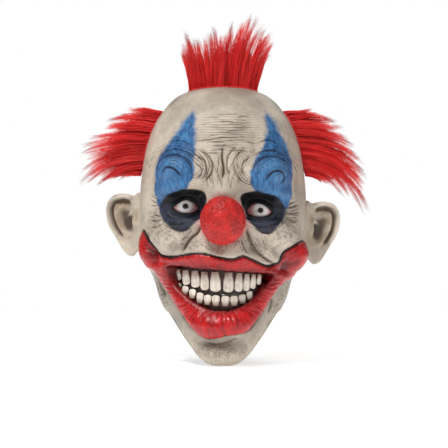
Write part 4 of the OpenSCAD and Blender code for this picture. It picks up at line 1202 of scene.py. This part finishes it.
class Finish:
    """A material under construction: short calls that each add a node and return its output."""

    def __init__(self, name, roughness=0.5):
        self.material = bpy.data.materials.new(name)
        self.material.use_nodes = True
        self.tree = self.material.node_tree
        self.tree.nodes.clear()
        output = self.tree.nodes.new("ShaderNodeOutputMaterial")
        self.shader = self.tree.nodes.new("ShaderNodeBsdfPrincipled")
        self.tree.links.new(self.shader.outputs["BSDF"], output.inputs["Surface"])
        self.shader.inputs["Roughness"].default_value = roughness
        self.place = self.tree.nodes.new("ShaderNodeTexCoord").outputs["Object"]

    def put(self, socket, source):
        if isinstance(source, bpy.types.NodeSocket):
            self.tree.links.new(source, socket)
        elif hasattr(source, "__len__"):
            socket.default_value = (*source[:3], 1.0)
        else:
            socket.default_value = source

    def value(self, name):
        node = self.tree.nodes.new("ShaderNodeAttribute")
        node.attribute_name = name
        return node.outputs["Fac"]

    def noise(self, size_mm, detail=4.0, roughness=0.55, stretch=None):
        """Soft noise from 0 to 1 with lumps about size_mm across. stretch squeezes it along an axis."""
        node = self.tree.nodes.new("ShaderNodeTexNoise")
        node.inputs["Scale"].default_value = 1000 / size_mm
        node.inputs["Detail"].default_value = detail
        node.inputs["Roughness"].default_value = roughness
        self.tree.links.new(self.stretched(stretch), node.inputs["Vector"])
        return node.outputs["Fac"]

    def stretched(self, stretch):
        if stretch is None:
            return self.place
        node = self.tree.nodes.new("ShaderNodeMapping")
        node.inputs["Scale"].default_value = stretch
        self.tree.links.new(self.place, node.inputs["Vector"])
        return node.outputs["Vector"]

    def dots(self, size_mm, low, high):
        """Small round dots about size_mm apart: 1 in their middles, 0 between them."""
        node = self.tree.nodes.new("ShaderNodeTexVoronoi")
        node.inputs["Scale"].default_value = 1000 / size_mm
        self.tree.links.new(self.place, node.inputs["Vector"])
        return self.span(node.outputs["Distance"], high, low)

    def bands(self, size_mm, waver):
        """Level lines about size_mm apart that wander up and down: 1 on a line, 0 between."""
        node = self.tree.nodes.new("ShaderNodeTexWave")
        node.bands_direction = "Z"
        node.inputs["Scale"].default_value = 2 * math.pi / (20 * size_mm / 1000)
        node.inputs["Distortion"].default_value = waver
        node.inputs["Detail"].default_value = 3
        node.inputs["Detail Scale"].default_value = 0.8
        self.tree.links.new(self.place, node.inputs["Vector"])
        return self.span(node.outputs["Fac"], 0.7, 1.0)

    def span(self, source, low, high, to_low=0.0, to_high=1.0):
        """Stretches low..high of a value to to_low..to_high, eased and held at the ends."""
        node = self.tree.nodes.new("ShaderNodeMapRange")
        node.interpolation_type = "SMOOTHSTEP"
        for name, value in (("Value", source), ("From Min", low), ("From Max", high),
                            ("To Min", to_low), ("To Max", to_high)):
            self.put(node.inputs[name], value)
        return node.outputs["Result"]

    def sum(self, how, a, b):
        node = self.tree.nodes.new("ShaderNodeMath")
        node.operation = how
        node.use_clamp = how in ("MULTIPLY", "ADD", "SUBTRACT")
        self.put(node.inputs[0], a)
        self.put(node.inputs[1], b)
        return node.outputs[0]

    def times(self, a, b):
        return self.sum("MULTIPLY", a, b)

    def plus(self, a, b):
        return self.sum("ADD", a, b)

    def minus(self, a, b):
        return self.sum("SUBTRACT", a, b)

    def mottle(self, size_mm, detail, low=0.0, high=1.0):
        """Noise that is spread from low to high."""
        return self.span(self.noise(size_mm, detail), 0.3, 0.7, low, high)

    def coat(self, base, name, strength, colour):
        """Lays a colour over the base where the mask says, at most as strongly as strength."""
        return self.blend(self.times(self.value(name), strength), base, colour)

    def blend(self, share, a, b):
        """Colour a where share is 0, colour b where it is 1."""
        node = self.tree.nodes.new("ShaderNodeMix")
        node.data_type = "RGBA"
        self.put(node.inputs["Factor"], share)
        self.put(node.inputs[6], a)
        self.put(node.inputs[7], b)
        return node.outputs[2]

    def relief(self, height, distance_mm, strength=1.0):
        node = self.tree.nodes.new("ShaderNodeBump")
        node.inputs["Distance"].default_value = distance_mm / 1000
        node.inputs["Strength"].default_value = strength
        self.put(node.inputs["Height"], height)
        self.tree.links.new(node.outputs["Normal"], self.shader.inputs["Normal"])

    def colour(self, source):
        self.put(self.shader.inputs["Base Color"], source)

    def rough(self, source):
        self.put(self.shader.inputs["Roughness"], source)


def bare_latex(finish, look):
    """The colour and the fine grain of unpainted cast latex."""
    flecks = finish.span(finish.noise(4.5, 5, 0.65), 0.45, 0.75)
    skin = finish.blend(finish.mottle(26, 3), look.skin_colour, look.skin_shade)
    skin = finish.blend(finish.times(flecks, 0.24), skin, look.wash_and_shade_colour)
    grain = finish.plus(finish.times(finish.noise(1.1, 6, 0.6), 0.5),
                        finish.times(finish.dots(1.7, 0.06, 0.3), 0.2))
    finish.shader.inputs["Subsurface Weight"].default_value = 0.04
    finish.shader.inputs["Subsurface Scale"].default_value = 0.003
    return skin, grain


def painted_latex(look):
    """Cast latex with hand-brushed colours over it, brown in its creases and hollows that is partly a wash
    and partly painted shade, painted shade round the jaw, the mouth and the openings, and painted highlights
    on its crests.
    """
    finish = Finish("painted_latex")
    skin, grain = bare_latex(finish, look)
    fine = finish.noise(2.4, 4, 0.6)
    blotch = finish.noise(9, 4, 0.6)
    stroke = finish.noise(3.5, 4, 0.6, (1, 1, 0.3))

    def ragged(name, amount=0.22):
        """A coat's value with its soft edge broken up, as a brush or sponge leaves it."""
        offset = finish.span(blotch, 0.3, 0.7, -amount / 2, amount / 2)
        node = finish.tree.nodes.new("ShaderNodeMath")
        node.operation = "ADD"
        finish.put(node.inputs[0], finish.value(name))
        finish.put(node.inputs[1], offset)
        return finish.span(node.outputs[0], 0.1, 0.9)

    # Wavy dark lines over the forehead in the crease colour: partly a wash, partly painted shade.
    lines = finish.times(finish.bands(2.5, 3.2), finish.value("rows"))
    pores = finish.times(finish.dots(1.5, 0.12, 0.34), finish.value("stipple"))
    pores = finish.times(pores, finish.span(blotch, 0.35, 0.6, 0.25, 1.0))
    scalp = finish.times(finish.value("scalp"), finish.span(finish.noise(38, 3), 0.35, 0.7, 0.25, 0.85))
    skin = finish.blend(scalp, skin, look.scalp_colour)
    # Painted shade round the jaw, on the sides of the head and under the side hair.
    skin = finish.blend(finish.times(finish.value("shade"), finish.span(blotch, 0.2, 0.8, 0.55, 0.95)),
                        skin, look.shade_colour)
    skin = finish.coat(skin, "pink", 0.75, look.blush_colour)
    # Painted highlight: paler skin on the raised crests.
    skin = finish.coat(skin, "crests", 0.45, look.skin_highlight)
    blue = finish.blend(finish.span(stroke, 0.32, 0.66), look.blue_colour, look.blue_shade)
    # Painted highlight: paler blue on the crests of the brows.
    blue = finish.coat(blue, "crests", 0.35, look.blue_highlight)
    skin = finish.blend(finish.times(ragged("blue"), finish.span(fine, 0.2, 0.5, 0.8, 1.0)), skin, blue)
    navy = finish.blend(finish.span(blotch, 0.35, 0.7), look.navy_colour, look.navy_shade)
    skin = finish.blend(finish.times(ragged("navy"), 0.96), skin, navy)
    # Colour of the creases, brown on the skin, navy in the blue and black in the navy: partly a wash, partly
    # painted shade.
    rubbed = finish.blend(ragged("blue"), look.wash_and_shade_colour, look.navy_colour)
    rubbed = finish.blend(finish.value("navy"), rubbed, look.black_colour)
    skin = finish.blend(finish.times(finish.span(finish.value("wash"), 0.06, 0.8),
                                   finish.span(fine, 0.2, 0.55, 0.7, 0.97)), skin, rubbed)
    skin = finish.blend(finish.times(lines, 0.7), skin, rubbed)
    skin = finish.blend(finish.times(finish.plus(pores, finish.value("pores")), 0.62),
                        skin, look.wash_and_shade_colour)
    skin = finish.blend(finish.times(ragged("black", 0.2), 0.97), skin, look.black_colour)
    red = finish.blend(finish.span(blotch, 0.35, 0.75, 0.0, 0.7), look.lip_colour, look.lip_shade)
    # Painted shade: red-black in the lip furrows, towards the mouth and in its corners.
    red = finish.coat(red, "furrow", 0.62, look.lip_painted_shade)
    red = finish.coat(red, "deep", 0.88, look.lip_painted_shade)
    painted_lip = finish.span(finish.value("red"), 0.35, 0.75)
    skin = finish.blend(painted_lip, skin, red)
    skin = finish.blend(finish.value("line"), skin, look.black_colour)
    # Painted shade: black down the walls of the mouth and eye openings.
    skin = finish.coat(skin, "within", 0.8, look.black_colour)
    # The inside: unpainted latex, made dark so that it reads as shade through the sight holes; partly the
    # latex, partly painted shade.
    raw = finish.blend(finish.mottle(14, 3), look.raw_latex_and_shade_colour, look.skin_shade)
    skin = finish.blend(finish.value("inside"), skin, raw)
    rough = finish.mottle(7, 4, 0.42, 0.6)
    finish.rough(finish.minus(rough, finish.times(painted_lip, 0.24)))
    finish.put(finish.shader.inputs["Specular IOR Level"], finish.span(painted_lip, 0, 1, 0.25, 0.4))
    cuts = finish.plus(finish.times(lines, 0.9), finish.times(pores, 0.9))
    grain = finish.minus(finish.plus(grain, 0.35), finish.times(cuts, 0.5))
    finish.relief(grain, 0.9, 0.6)
    finish.colour(skin)
    return finish.material


def ear_latex(look):
    """Cast latex with tan sponged inside the folds of an ear, brown down its folds that is partly a wash and
    partly painted shade, painted shade in black in its bowl, and a painted highlight on its helix.
    """
    finish = Finish("latex_ears")
    skin, grain = bare_latex(finish, look)
    # Painted highlight on the helix.
    skin = finish.coat(skin, "crests", 0.7, look.skin_highlight)
    skin = finish.coat(skin, "tan", 0.6, look.tan_colour)
    # Brown down the folds, partly a wash and partly painted shade; black in the bowl is painted shade.
    skin = finish.coat(skin, "wash", 0.9, look.wash_and_shade_colour)
    skin = finish.coat(skin, "bowl", 0.5, look.black_colour)
    finish.rough(finish.mottle(7, 4, 0.4, 0.58))
    finish.relief(grain, 0.5, 0.6)
    finish.shader.inputs["Specular IOR Level"].default_value = 0.28
    finish.colour(skin)
    return finish.material


def nose_paint(look):
    """Red satin paint over a pebbled casting, with painted shade down in its pits."""
    finish = Finish("nose_paint", 0.35)
    base = finish.blend(finish.span(finish.noise(9, 4), 0.3, 0.72), look.nose_colour, look.nose_shade)
    # Painted shade down in the pits.
    base = finish.coat(base, "pits", 0.3, look.red_black_shade_and_mottle)
    finish.colour(base)
    finish.rough(finish.mottle(3, 4, 0.36, 0.55))
    finish.relief(finish.noise(0.9, 5, 0.6), 0.3, 0.6)
    finish.shader.inputs["Specular IOR Level"].default_value = 0.32
    return finish.material


def eye_enamel(look):
    """Glossy white enamel with faint veins, black round the sight hole."""
    finish = Finish("eye_enamel", 0.12)
    veins = finish.tree.nodes.new("ShaderNodeTexWave")
    veins.inputs["Scale"].default_value = 130
    veins.inputs["Distortion"].default_value = 22
    veins.inputs["Detail"].default_value = 3
    finish.tree.links.new(finish.place, veins.inputs["Vector"])
    thin = finish.span(veins.outputs["Fac"], 0.86, 0.99)
    patches = finish.span(finish.noise(6, 3), 0.35, 0.7, 0.0, 0.5)
    white = finish.blend(patches, look.eye_colour, look.eye_shade)
    white = finish.coat(white, "veins", 0.75, look.blush_colour)
    white = finish.blend(finish.times(thin, finish.times(finish.value("veins"), 0.6)),
                         white, look.lip_colour)
    white = finish.coat(white, "iris", 0.45, look.iris_colour)
    finish.colour(finish.blend(finish.value("pupil"), white, look.black_colour))
    finish.rough(finish.mottle(5, 3, 0.1, 0.22))
    finish.relief(finish.noise(2.5, 3), 0.1, 0.4)
    finish.shader.inputs["Coat Weight"].default_value = 0.8
    finish.shader.inputs["Coat Roughness"].default_value = 0.06
    return finish.material


def stained_teeth(look):
    """Ivory paint with a brown stain at the roots, and darker brown on each tooth's sides towards its
    neighbours.
    """
    finish = Finish("stained_teeth", 0.3)
    streaks = finish.noise(2.2, 4, 0.6, (1, 1, 0.22))
    base = finish.blend(finish.span(streaks, 0.35, 0.7), look.tooth_colour, look.tooth_shade)
    stain = finish.plus(finish.times(finish.value("stain"), 0.9),
                       finish.times(finish.span(finish.noise(3.4, 4), 0.5, 0.8), 0.35))
    finish.colour(finish.blend(stain, base, look.tooth_stain))
    finish.rough(finish.mottle(3, 4, 0.24, 0.46))
    finish.relief(streaks, 0.25, 0.5)
    finish.shader.inputs["Coat Weight"].default_value = 0.25
    finish.shader.inputs["Coat Roughness"].default_value = 0.2
    return finish.material


def wet_gums(look):
    """Dark brown gums with a wet shine, with painted shade near black where they sink away."""
    finish = Finish("wet_gums", 0.3)
    # Painted shade: brown on the swellings, near black where the gums sink.
    base = finish.blend(finish.times(finish.value("swell"), finish.mottle(3, 4, 0.4, 0.9)),
                        look.gum_painted_shade, look.gum_colour)
    finish.colour(base)
    finish.rough(finish.mottle(2.4, 4, 0.22, 0.5))
    finish.relief(finish.noise(1.4, 5), 0.4, 0.6)
    return finish.material


def hair_fibre(look):
    """Bright artificial fibre: deeper at the root, dark at the drawn-out tips."""
    finish = Finish("hair_fibre", 0.42)
    strand = finish.blend(finish.value("tone"), look.hair_colour, look.hair_light)
    strand = finish.blend(finish.span(finish.value("tip"), 0.0, 0.3, 0.35, 0.0), strand, look.hair_root)
    strand = finish.blend(finish.span(finish.value("tip"), 0.74, 1.02, 0.0, 0.85), strand, look.hair_tip)
    finish.colour(finish.blend(finish.span(finish.noise(8, 3), 0.42, 0.72, 0.0, 0.2), strand, look.hair_root))
    finish.rough(finish.mottle(5, 2, 0.36, 0.55))
    finish.relief(finish.noise(0.7, 2, 0.5, (1, 1, 0.3)), 0.1, 0.3)
    finish.shader.inputs["Specular IOR Level"].default_value = 0.35
    return finish.material


def backing_cloth(look):
    """Coarse dyed cloth under the hair, with painted shade in the low points of its weave."""
    finish = Finish("backing_cloth", 0.85)
    # Painted shade: deeper red in the low points of the weave.
    base = finish.blend(finish.span(finish.value("weave"), 0.2, 0.9), look.hair_root, look.hair_colour)
    finish.colour(finish.blend(finish.span(finish.noise(3, 4), 0.4, 0.7, 0.0, 0.4), base, look.red_black_shade_and_mottle))
    finish.rough(finish.mottle(2, 3, 0.75, 0.95))
    finish.relief(finish.noise(0.8, 4), 0.4, 0.7)
    finish.shader.inputs["Sheen Weight"].default_value = 0.3
    return finish.material


def pale_floor(look):
    """Matt white paint."""
    finish = Finish("pale_floor", 0.8)
    finish.colour(finish.blend(finish.mottle(600, 2), look.floor_colour, look.floor_shade))
    finish.rough(finish.mottle(90, 2, 0.75, 0.9))
    finish.shader.inputs["Emission Color"].default_value = (1, 1, 1, 1)
    finish.shader.inputs["Emission Strength"].default_value = 0.6
    return finish.material


# ---- What a user may change ----

def colour_prop(name, description, default):
    return bpy.props.FloatVectorProperty(name=name, description=description, subtype="COLOR", size=3,
                                         min=0, max=1, default=default)


def mm_prop(name, description, default, low, high):
    return bpy.props.FloatProperty(name=name, description=description, subtype="DISTANCE", unit="LENGTH",
                                   default=default / 1000, min=low / 1000, max=high / 1000, precision=4)


class MaskColours(bpy.types.PropertyGroup):
    skin_colour: colour_prop("Skin", "Pale latex of the face and ears", (0.58, 0.505, 0.41))
    # The skin light colour is a painted highlight on the crests.
    skin_highlight: colour_prop("Skin light", "Paler latex on the crests of the face", (0.72, 0.66, 0.57))
    skin_shade: colour_prop("Skin shade", "Darker mottling in the latex", (0.41, 0.355, 0.29))
    # The crease wash colour is partly a brown wash and partly painted shade in creases and hollows; it also
    # colours random flecks and the pores.
    wash_and_shade_colour: colour_prop("Crease wash", "Brown rubbed into creases and pores", (0.10, 0.065, 0.045))
    tan_colour: colour_prop("Ear tan", "Yellow-brown sponged inside the ears", (0.33, 0.235, 0.14))
    scalp_colour: colour_prop("Scalp", "Grey-brown sprayed over the crown", (0.25, 0.205, 0.16))
    # The jaw shade colour is painted shade: round the jaw, on the sides of the head and under the side hair.
    shade_colour: colour_prop("Jaw shade", "Dull brown-grey sprayed round the jaw", (0.19, 0.165, 0.125))
    blush_colour: colour_prop("Blush", "Pink round the nose and in the eye corners", (0.62, 0.15, 0.17))
    blue_colour: colour_prop("Brow blue", "Blue of the brow patches", (0.05, 0.19, 0.41))
    # The brow blue light colour is a painted highlight on the crests of the brows.
    blue_highlight: colour_prop("Brow blue light", "Paler blue on the crests of the brows", (0.12, 0.30, 0.52))
    blue_shade: colour_prop("Brow blue shade", "Darker blue brushed into the patches", (0.016, 0.075, 0.20))
    navy_colour: colour_prop("Under-eye navy", "Navy of the bags under the eyes", (0.014, 0.024, 0.058))
    navy_shade: colour_prop("Under-eye shade", "Darker navy in the bags", (0.008, 0.011, 0.024))
    black_colour: colour_prop("Black", "Black of the sockets and outlines", (0.004, 0.004, 0.005))
    lip_colour: colour_prop("Lips", "Red of the lips", (0.50, 0.010, 0.012))
    lip_shade: colour_prop("Lip shade", "Darker red in the lips' furrows", (0.24, 0.005, 0.008))
    # The lip inside colour is painted shade in the lip furrows, towards the mouth and in its corners.
    lip_painted_shade: colour_prop("Lip inside", "Red-black towards and beside the mouth", (0.07, 0.004, 0.004))
    # The inside colour is unpainted latex darkened to stand in for the shade inside the mask.
    raw_latex_and_shade_colour: colour_prop("Inside", "Unpainted latex inside the mask", (0.22, 0.18, 0.13))
    nose_colour: colour_prop("Nose", "Red of the nose", (0.60, 0.018, 0.015))
    nose_shade: colour_prop("Nose shade", "Darker red of the nose", (0.36, 0.012, 0.010))
    # The nose pits colour is painted shade in the nose's pits; the hair patches use it for a random mottle.
    red_black_shade_and_mottle: colour_prop("Nose pits", "Red-black in the nose's pits", (0.14, 0.008, 0.006))
    eye_colour: colour_prop("Eye white", "White of the eye domes", (0.86, 0.84, 0.82))
    eye_shade: colour_prop("Eye shade", "Greyer white of the eye domes", (0.66, 0.62, 0.60))
    iris_colour: colour_prop("Iris", "Grey ring round each sight hole", (0.33, 0.35, 0.36))
    tooth_colour: colour_prop("Teeth", "Ivory of the teeth", (0.82, 0.76, 0.67))
    tooth_shade: colour_prop("Tooth shade", "Yellower ivory", (0.62, 0.53, 0.42))
    tooth_stain: colour_prop("Tooth stain", "Brown at the roots", (0.17, 0.06, 0.03))
    gum_colour: colour_prop("Gums", "Brown of the gums", (0.24, 0.055, 0.035))
    # The mouth colour is painted shade, near black where the gums sink away.
    gum_painted_shade: colour_prop("Mouth", "Near black of the mouth", (0.02, 0.007, 0.006))
    hair_colour: colour_prop("Hair", "Red of the hair", (0.86, 0.016, 0.020))
    hair_light: colour_prop("Hair light", "Lighter red strands", (0.95, 0.06, 0.05))
    hair_root: colour_prop("Hair root", "Deeper red near the roots", (0.62, 0.008, 0.012))
    hair_tip: colour_prop("Hair tip", "Dark thin tips", (0.10, 0.012, 0.012))
    floor_colour: colour_prop("Floor", "Floor paint", (0.90, 0.90, 0.90))
    floor_shade: colour_prop("Floor shade", "Faint variation of the floor paint", (0.87, 0.87, 0.88))


class MaskSizes(bpy.types.PropertyGroup):
    fineness: mm_prop("Skin grid", "Distance between the mesh's points in the face", 1.05, 0.8, 4.0)
    wrinkle_depth: bpy.props.FloatProperty(name="Wrinkle depth", description="Depth of creases and pores",
                                           subtype="FACTOR", default=1.0, min=0.0, max=1.5)
    pebble_depth: bpy.props.FloatProperty(name="Nose pebbles", description="Depth of the nose's pebbled face",
                                          subtype="FACTOR", default=1.0, min=0.0, max=1.5)
    ear_depth: bpy.props.FloatProperty(name="Ear relief", description="Depth of the folds in the ears",
                                       subtype="FACTOR", default=1.0, min=0.3, max=1.3)
    sight_hole: mm_prop("Sight hole", "Diameter of the hole in each eye dome", 4.2, 3.0, 6.0)
    top_strands: bpy.props.IntProperty(name="Top strands", description="Strands in the tuft on the crown",
                                       default=4500, min=200, max=4700)
    side_strands: bpy.props.IntProperty(name="Side strands", description="Strands in each side tuft",
                                        default=4500, min=200, max=4700)
    strand_width: mm_prop("Strand", "Thickness of a strand", 0.34, 0.2, 1.0)
    lens: bpy.props.FloatProperty(name="Lens", description="Focal length of the camera in mm", default=160.7,
                                  min=20, max=400)
    camera_distance: mm_prop("Camera distance", "From the camera to the middle of the head", 2000, 500, 6000)


# ---- Operators ----

class MASK_OT_skin(bpy.types.Operator):
    """Builds the painted latex skin"""
    bl_idname = "mask.skin"
    bl_label = "Latex skin"

    def execute(self, context):
        sizes, look = context.scene.mask_sizes, context.scene.mask_colours
        parts = skin_parts(sizes.fineness * 1000, sizes.wrinkle_depth)
        piece = make_piece("painted_skin", parts, painted_latex(look))
        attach(piece, "head")
        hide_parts("latex_skin")
        return {"FINISHED"}


class MASK_OT_nose(bpy.types.Operator):
    """Builds the ball nose"""
    bl_idname = "mask.nose"
    bl_label = "Ball nose"

    def execute(self, context):
        parts = nose_parts(context.scene.mask_sizes.pebble_depth)
        piece = make_piece("pebbled_nose", parts, nose_paint(context.scene.mask_colours))
        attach(piece, "head")
        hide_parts("ball_nose")
        return {"FINISHED"}


class MASK_OT_eyes(bpy.types.Operator):
    """Builds the two eye domes"""
    bl_idname = "mask.eyes"
    bl_label = "Eye domes"

    def execute(self, context):
        enamel = eye_enamel(context.scene.mask_colours)
        hole = context.scene.mask_sizes.sight_hole * 500
        for (eye, radius), side in zip(eye_places(), ("left", "right")):
            piece = make_piece("glossy_eye_" + side, eye_parts(eye, radius, hole), enamel)
            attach(piece, "head")
            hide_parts("eye_dome_" + side)
        return {"FINISHED"}


class MASK_OT_mouth(bpy.types.Operator):
    """Builds the teeth and gums"""
    bl_idname = "mask.mouth"
    bl_label = "Teeth and gums"

    def execute(self, context):
        look = context.scene.mask_colours
        enamel, wet = stained_teeth(look), wet_gums(look)
        for name, rows in (("upper", UPPER_TEETH), ("lower", LOWER_TEETH)):
            parts = join_parts([tooth_parts(row, 70 + i) for i, row in enumerate(rows)])
            teeth = make_piece(name + "_tooth_row", parts, enamel)
            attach(teeth, "head")
            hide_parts(name + "_teeth")
            gum = make_piece(name + "_gum_ridge", gum_parts(name == "upper"), wet)
            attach(gum, "head")
            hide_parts(name + "_gum")
        return {"FINISHED"}


class MASK_OT_ears(bpy.types.Operator):
    """Builds the two ears"""
    bl_idname = "mask.ears"
    bl_label = "Ears"

    def execute(self, context):
        latex = ear_latex(context.scene.mask_colours)
        for side, name in ((1, "left"), (-1, "right")):
            parts = ear_parts(side, context.scene.mask_sizes.ear_depth)
            piece = make_piece("sculpted_ear_" + name, parts, latex)
            pivot = Vector(JOINTS[name + "_ear_flex"]["pos_m"])
            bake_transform(piece)
            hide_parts("ear_" + name)
        return {"FINISHED"}


class MASK_OT_hair(bpy.types.Operator):
    """Builds the three tufts of hair and the patches they are tied through"""
    bl_idname = "mask.hair"
    bl_label = "Hair"

    def execute(self, context):
        sizes, look = context.scene.mask_sizes, context.scene.mask_colours
        fibre, cloth = hair_fibre(look), backing_cloth(look)
        thick = sizes.strand_width * 1000
        for name, tips, count, seed, half in (("top", TOP_TIPS, sizes.top_strands, 5, 32.5),
                                              ("left", LEFT_TIPS, sizes.side_strands, 6, 33.0),
                                              ("right", RIGHT_TIPS, sizes.side_strands, 7, 33.0)):
            parts = hair_parts(name, tips, count, thick, seed, half)
            piece = make_piece(name + "_locks", parts, fibre)
            origin, _, _, out, off = tuft_frame(name)
            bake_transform(piece)
            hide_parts(name + "_tuft_hair")
            patch = make_piece(name + "_hair_patch", backing_parts(name), cloth)
            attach(patch, "head")
            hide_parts(name + "_tuft_backing")
        return {"FINISHED"}


# Lights: name, place in metres, width in metres, power in watts
LIGHTS = [("key", (-0.55, -0.85, 1.55), 0.4, 31), ("fill", (1.4, -1.3, 0.4), 1.2, 6),
          ("rim", (0.2, 1.5, 1.2), 1.2, 10)]


class MASK_OT_stage(bpy.types.Operator):
    """Builds the floor, lights and camera"""
    bl_idname = "mask.stage"
    bl_label = "Stage"

    def execute(self, context):
        scene, sizes = context.scene, context.scene.mask_sizes
        low = CAD_BOX[0][2] - 0.0006
        mesh = bpy.data.meshes.new("floor")
        turns = [2 * math.pi * k / 96 for k in range(96)]
        mesh.from_pydata([(1.1 * math.cos(t), 1.1 * math.sin(t), low) for t in turns], [], [range(96)])
        mesh.materials.append(pale_floor(scene.mask_colours))
        floor = bpy.data.objects.new("floor", mesh)
        scene.collection.objects.link(floor)
        world = bpy.data.worlds.new("white_room")
        world.use_nodes = True
        tree = world.node_tree
        room = tree.nodes["Background"]
        room.inputs["Color"].default_value = (1, 1, 1, 1)
        room.inputs["Strength"].default_value = 0.22
        wall = tree.nodes.new("ShaderNodeBackground")
        seen, either = tree.nodes.new("ShaderNodeLightPath"), tree.nodes.new("ShaderNodeMixShader")
        tree.links.new(seen.outputs["Is Camera Ray"], either.inputs[0])
        tree.links.new(room.outputs[0], either.inputs[1])
        tree.links.new(wall.outputs[0], either.inputs[2])
        tree.links.new(either.outputs[0], tree.nodes["World Output"].inputs["Surface"])
        wall.inputs["Color"].default_value = (1, 1, 1, 1)
        scene.world = world
        for name, place, size, power in LIGHTS:
            light = bpy.data.lights.new(name, "AREA")
            light.size, light.energy = size, power
            lamp = bpy.data.objects.new(name, light)
            lamp.location = place
            lamp.rotation_euler = (Vector((0, 0, 0)) - Vector(place)).to_track_quat("-Z", "Y").to_euler()
            scene.collection.objects.link(lamp)
        camera = bpy.data.cameras.new("camera")
        camera.lens, camera.sensor_width = sizes.lens, 36
        camera.clip_end = 50
        view = bpy.data.objects.new("camera", camera)
        view.location = (0.001, -sizes.camera_distance, -0.009)
        view.rotation_euler = (math.pi / 2, 0, 0)
        scene.collection.objects.link(view)
        scene.camera = view
        scene.view_settings.view_transform = "Standard"
        return {"FINISHED"}


class MASK_PT_panel(bpy.types.Panel):
    """Lists the steps that build the mask"""
    bl_idname = "MASK_PT_panel"
    bl_label = "Mask"
    bl_space_type = "VIEW_3D"
    bl_region_type = "UI"
    bl_category = "Mask"

    def draw(self, context):
        for step in STEPS:
            self.layout.operator(step.bl_idname)
        for group in (context.scene.mask_sizes, context.scene.mask_colours):
            box = self.layout.box()
            for name in group.__annotations__:
                box.prop(group, name)


STEPS = (MASK_OT_skin, MASK_OT_nose, MASK_OT_eyes, MASK_OT_mouth, MASK_OT_ears, MASK_OT_hair, MASK_OT_stage)
CLASSES = (MaskColours, MaskSizes, *STEPS, MASK_PT_panel)


def register():
    for item in CLASSES:
        bpy.utils.register_class(item)
    bpy.types.Scene.mask_colours = bpy.props.PointerProperty(type=MaskColours)
    bpy.types.Scene.mask_sizes = bpy.props.PointerProperty(type=MaskSizes)


def unregister():
    del bpy.types.Scene.mask_sizes
    del bpy.types.Scene.mask_colours
    for item in reversed(CLASSES):
        bpy.utils.unregister_class(item)


def main():
    register()
    bpy.ops.mask.skin()
    bpy.ops.mask.nose()
    bpy.ops.mask.eyes()
    bpy.ops.mask.mouth()
    bpy.ops.mask.ears()
    bpy.ops.mask.hair()
    bpy.ops.mask.stage()


if __name__ == "__main__":
    main()
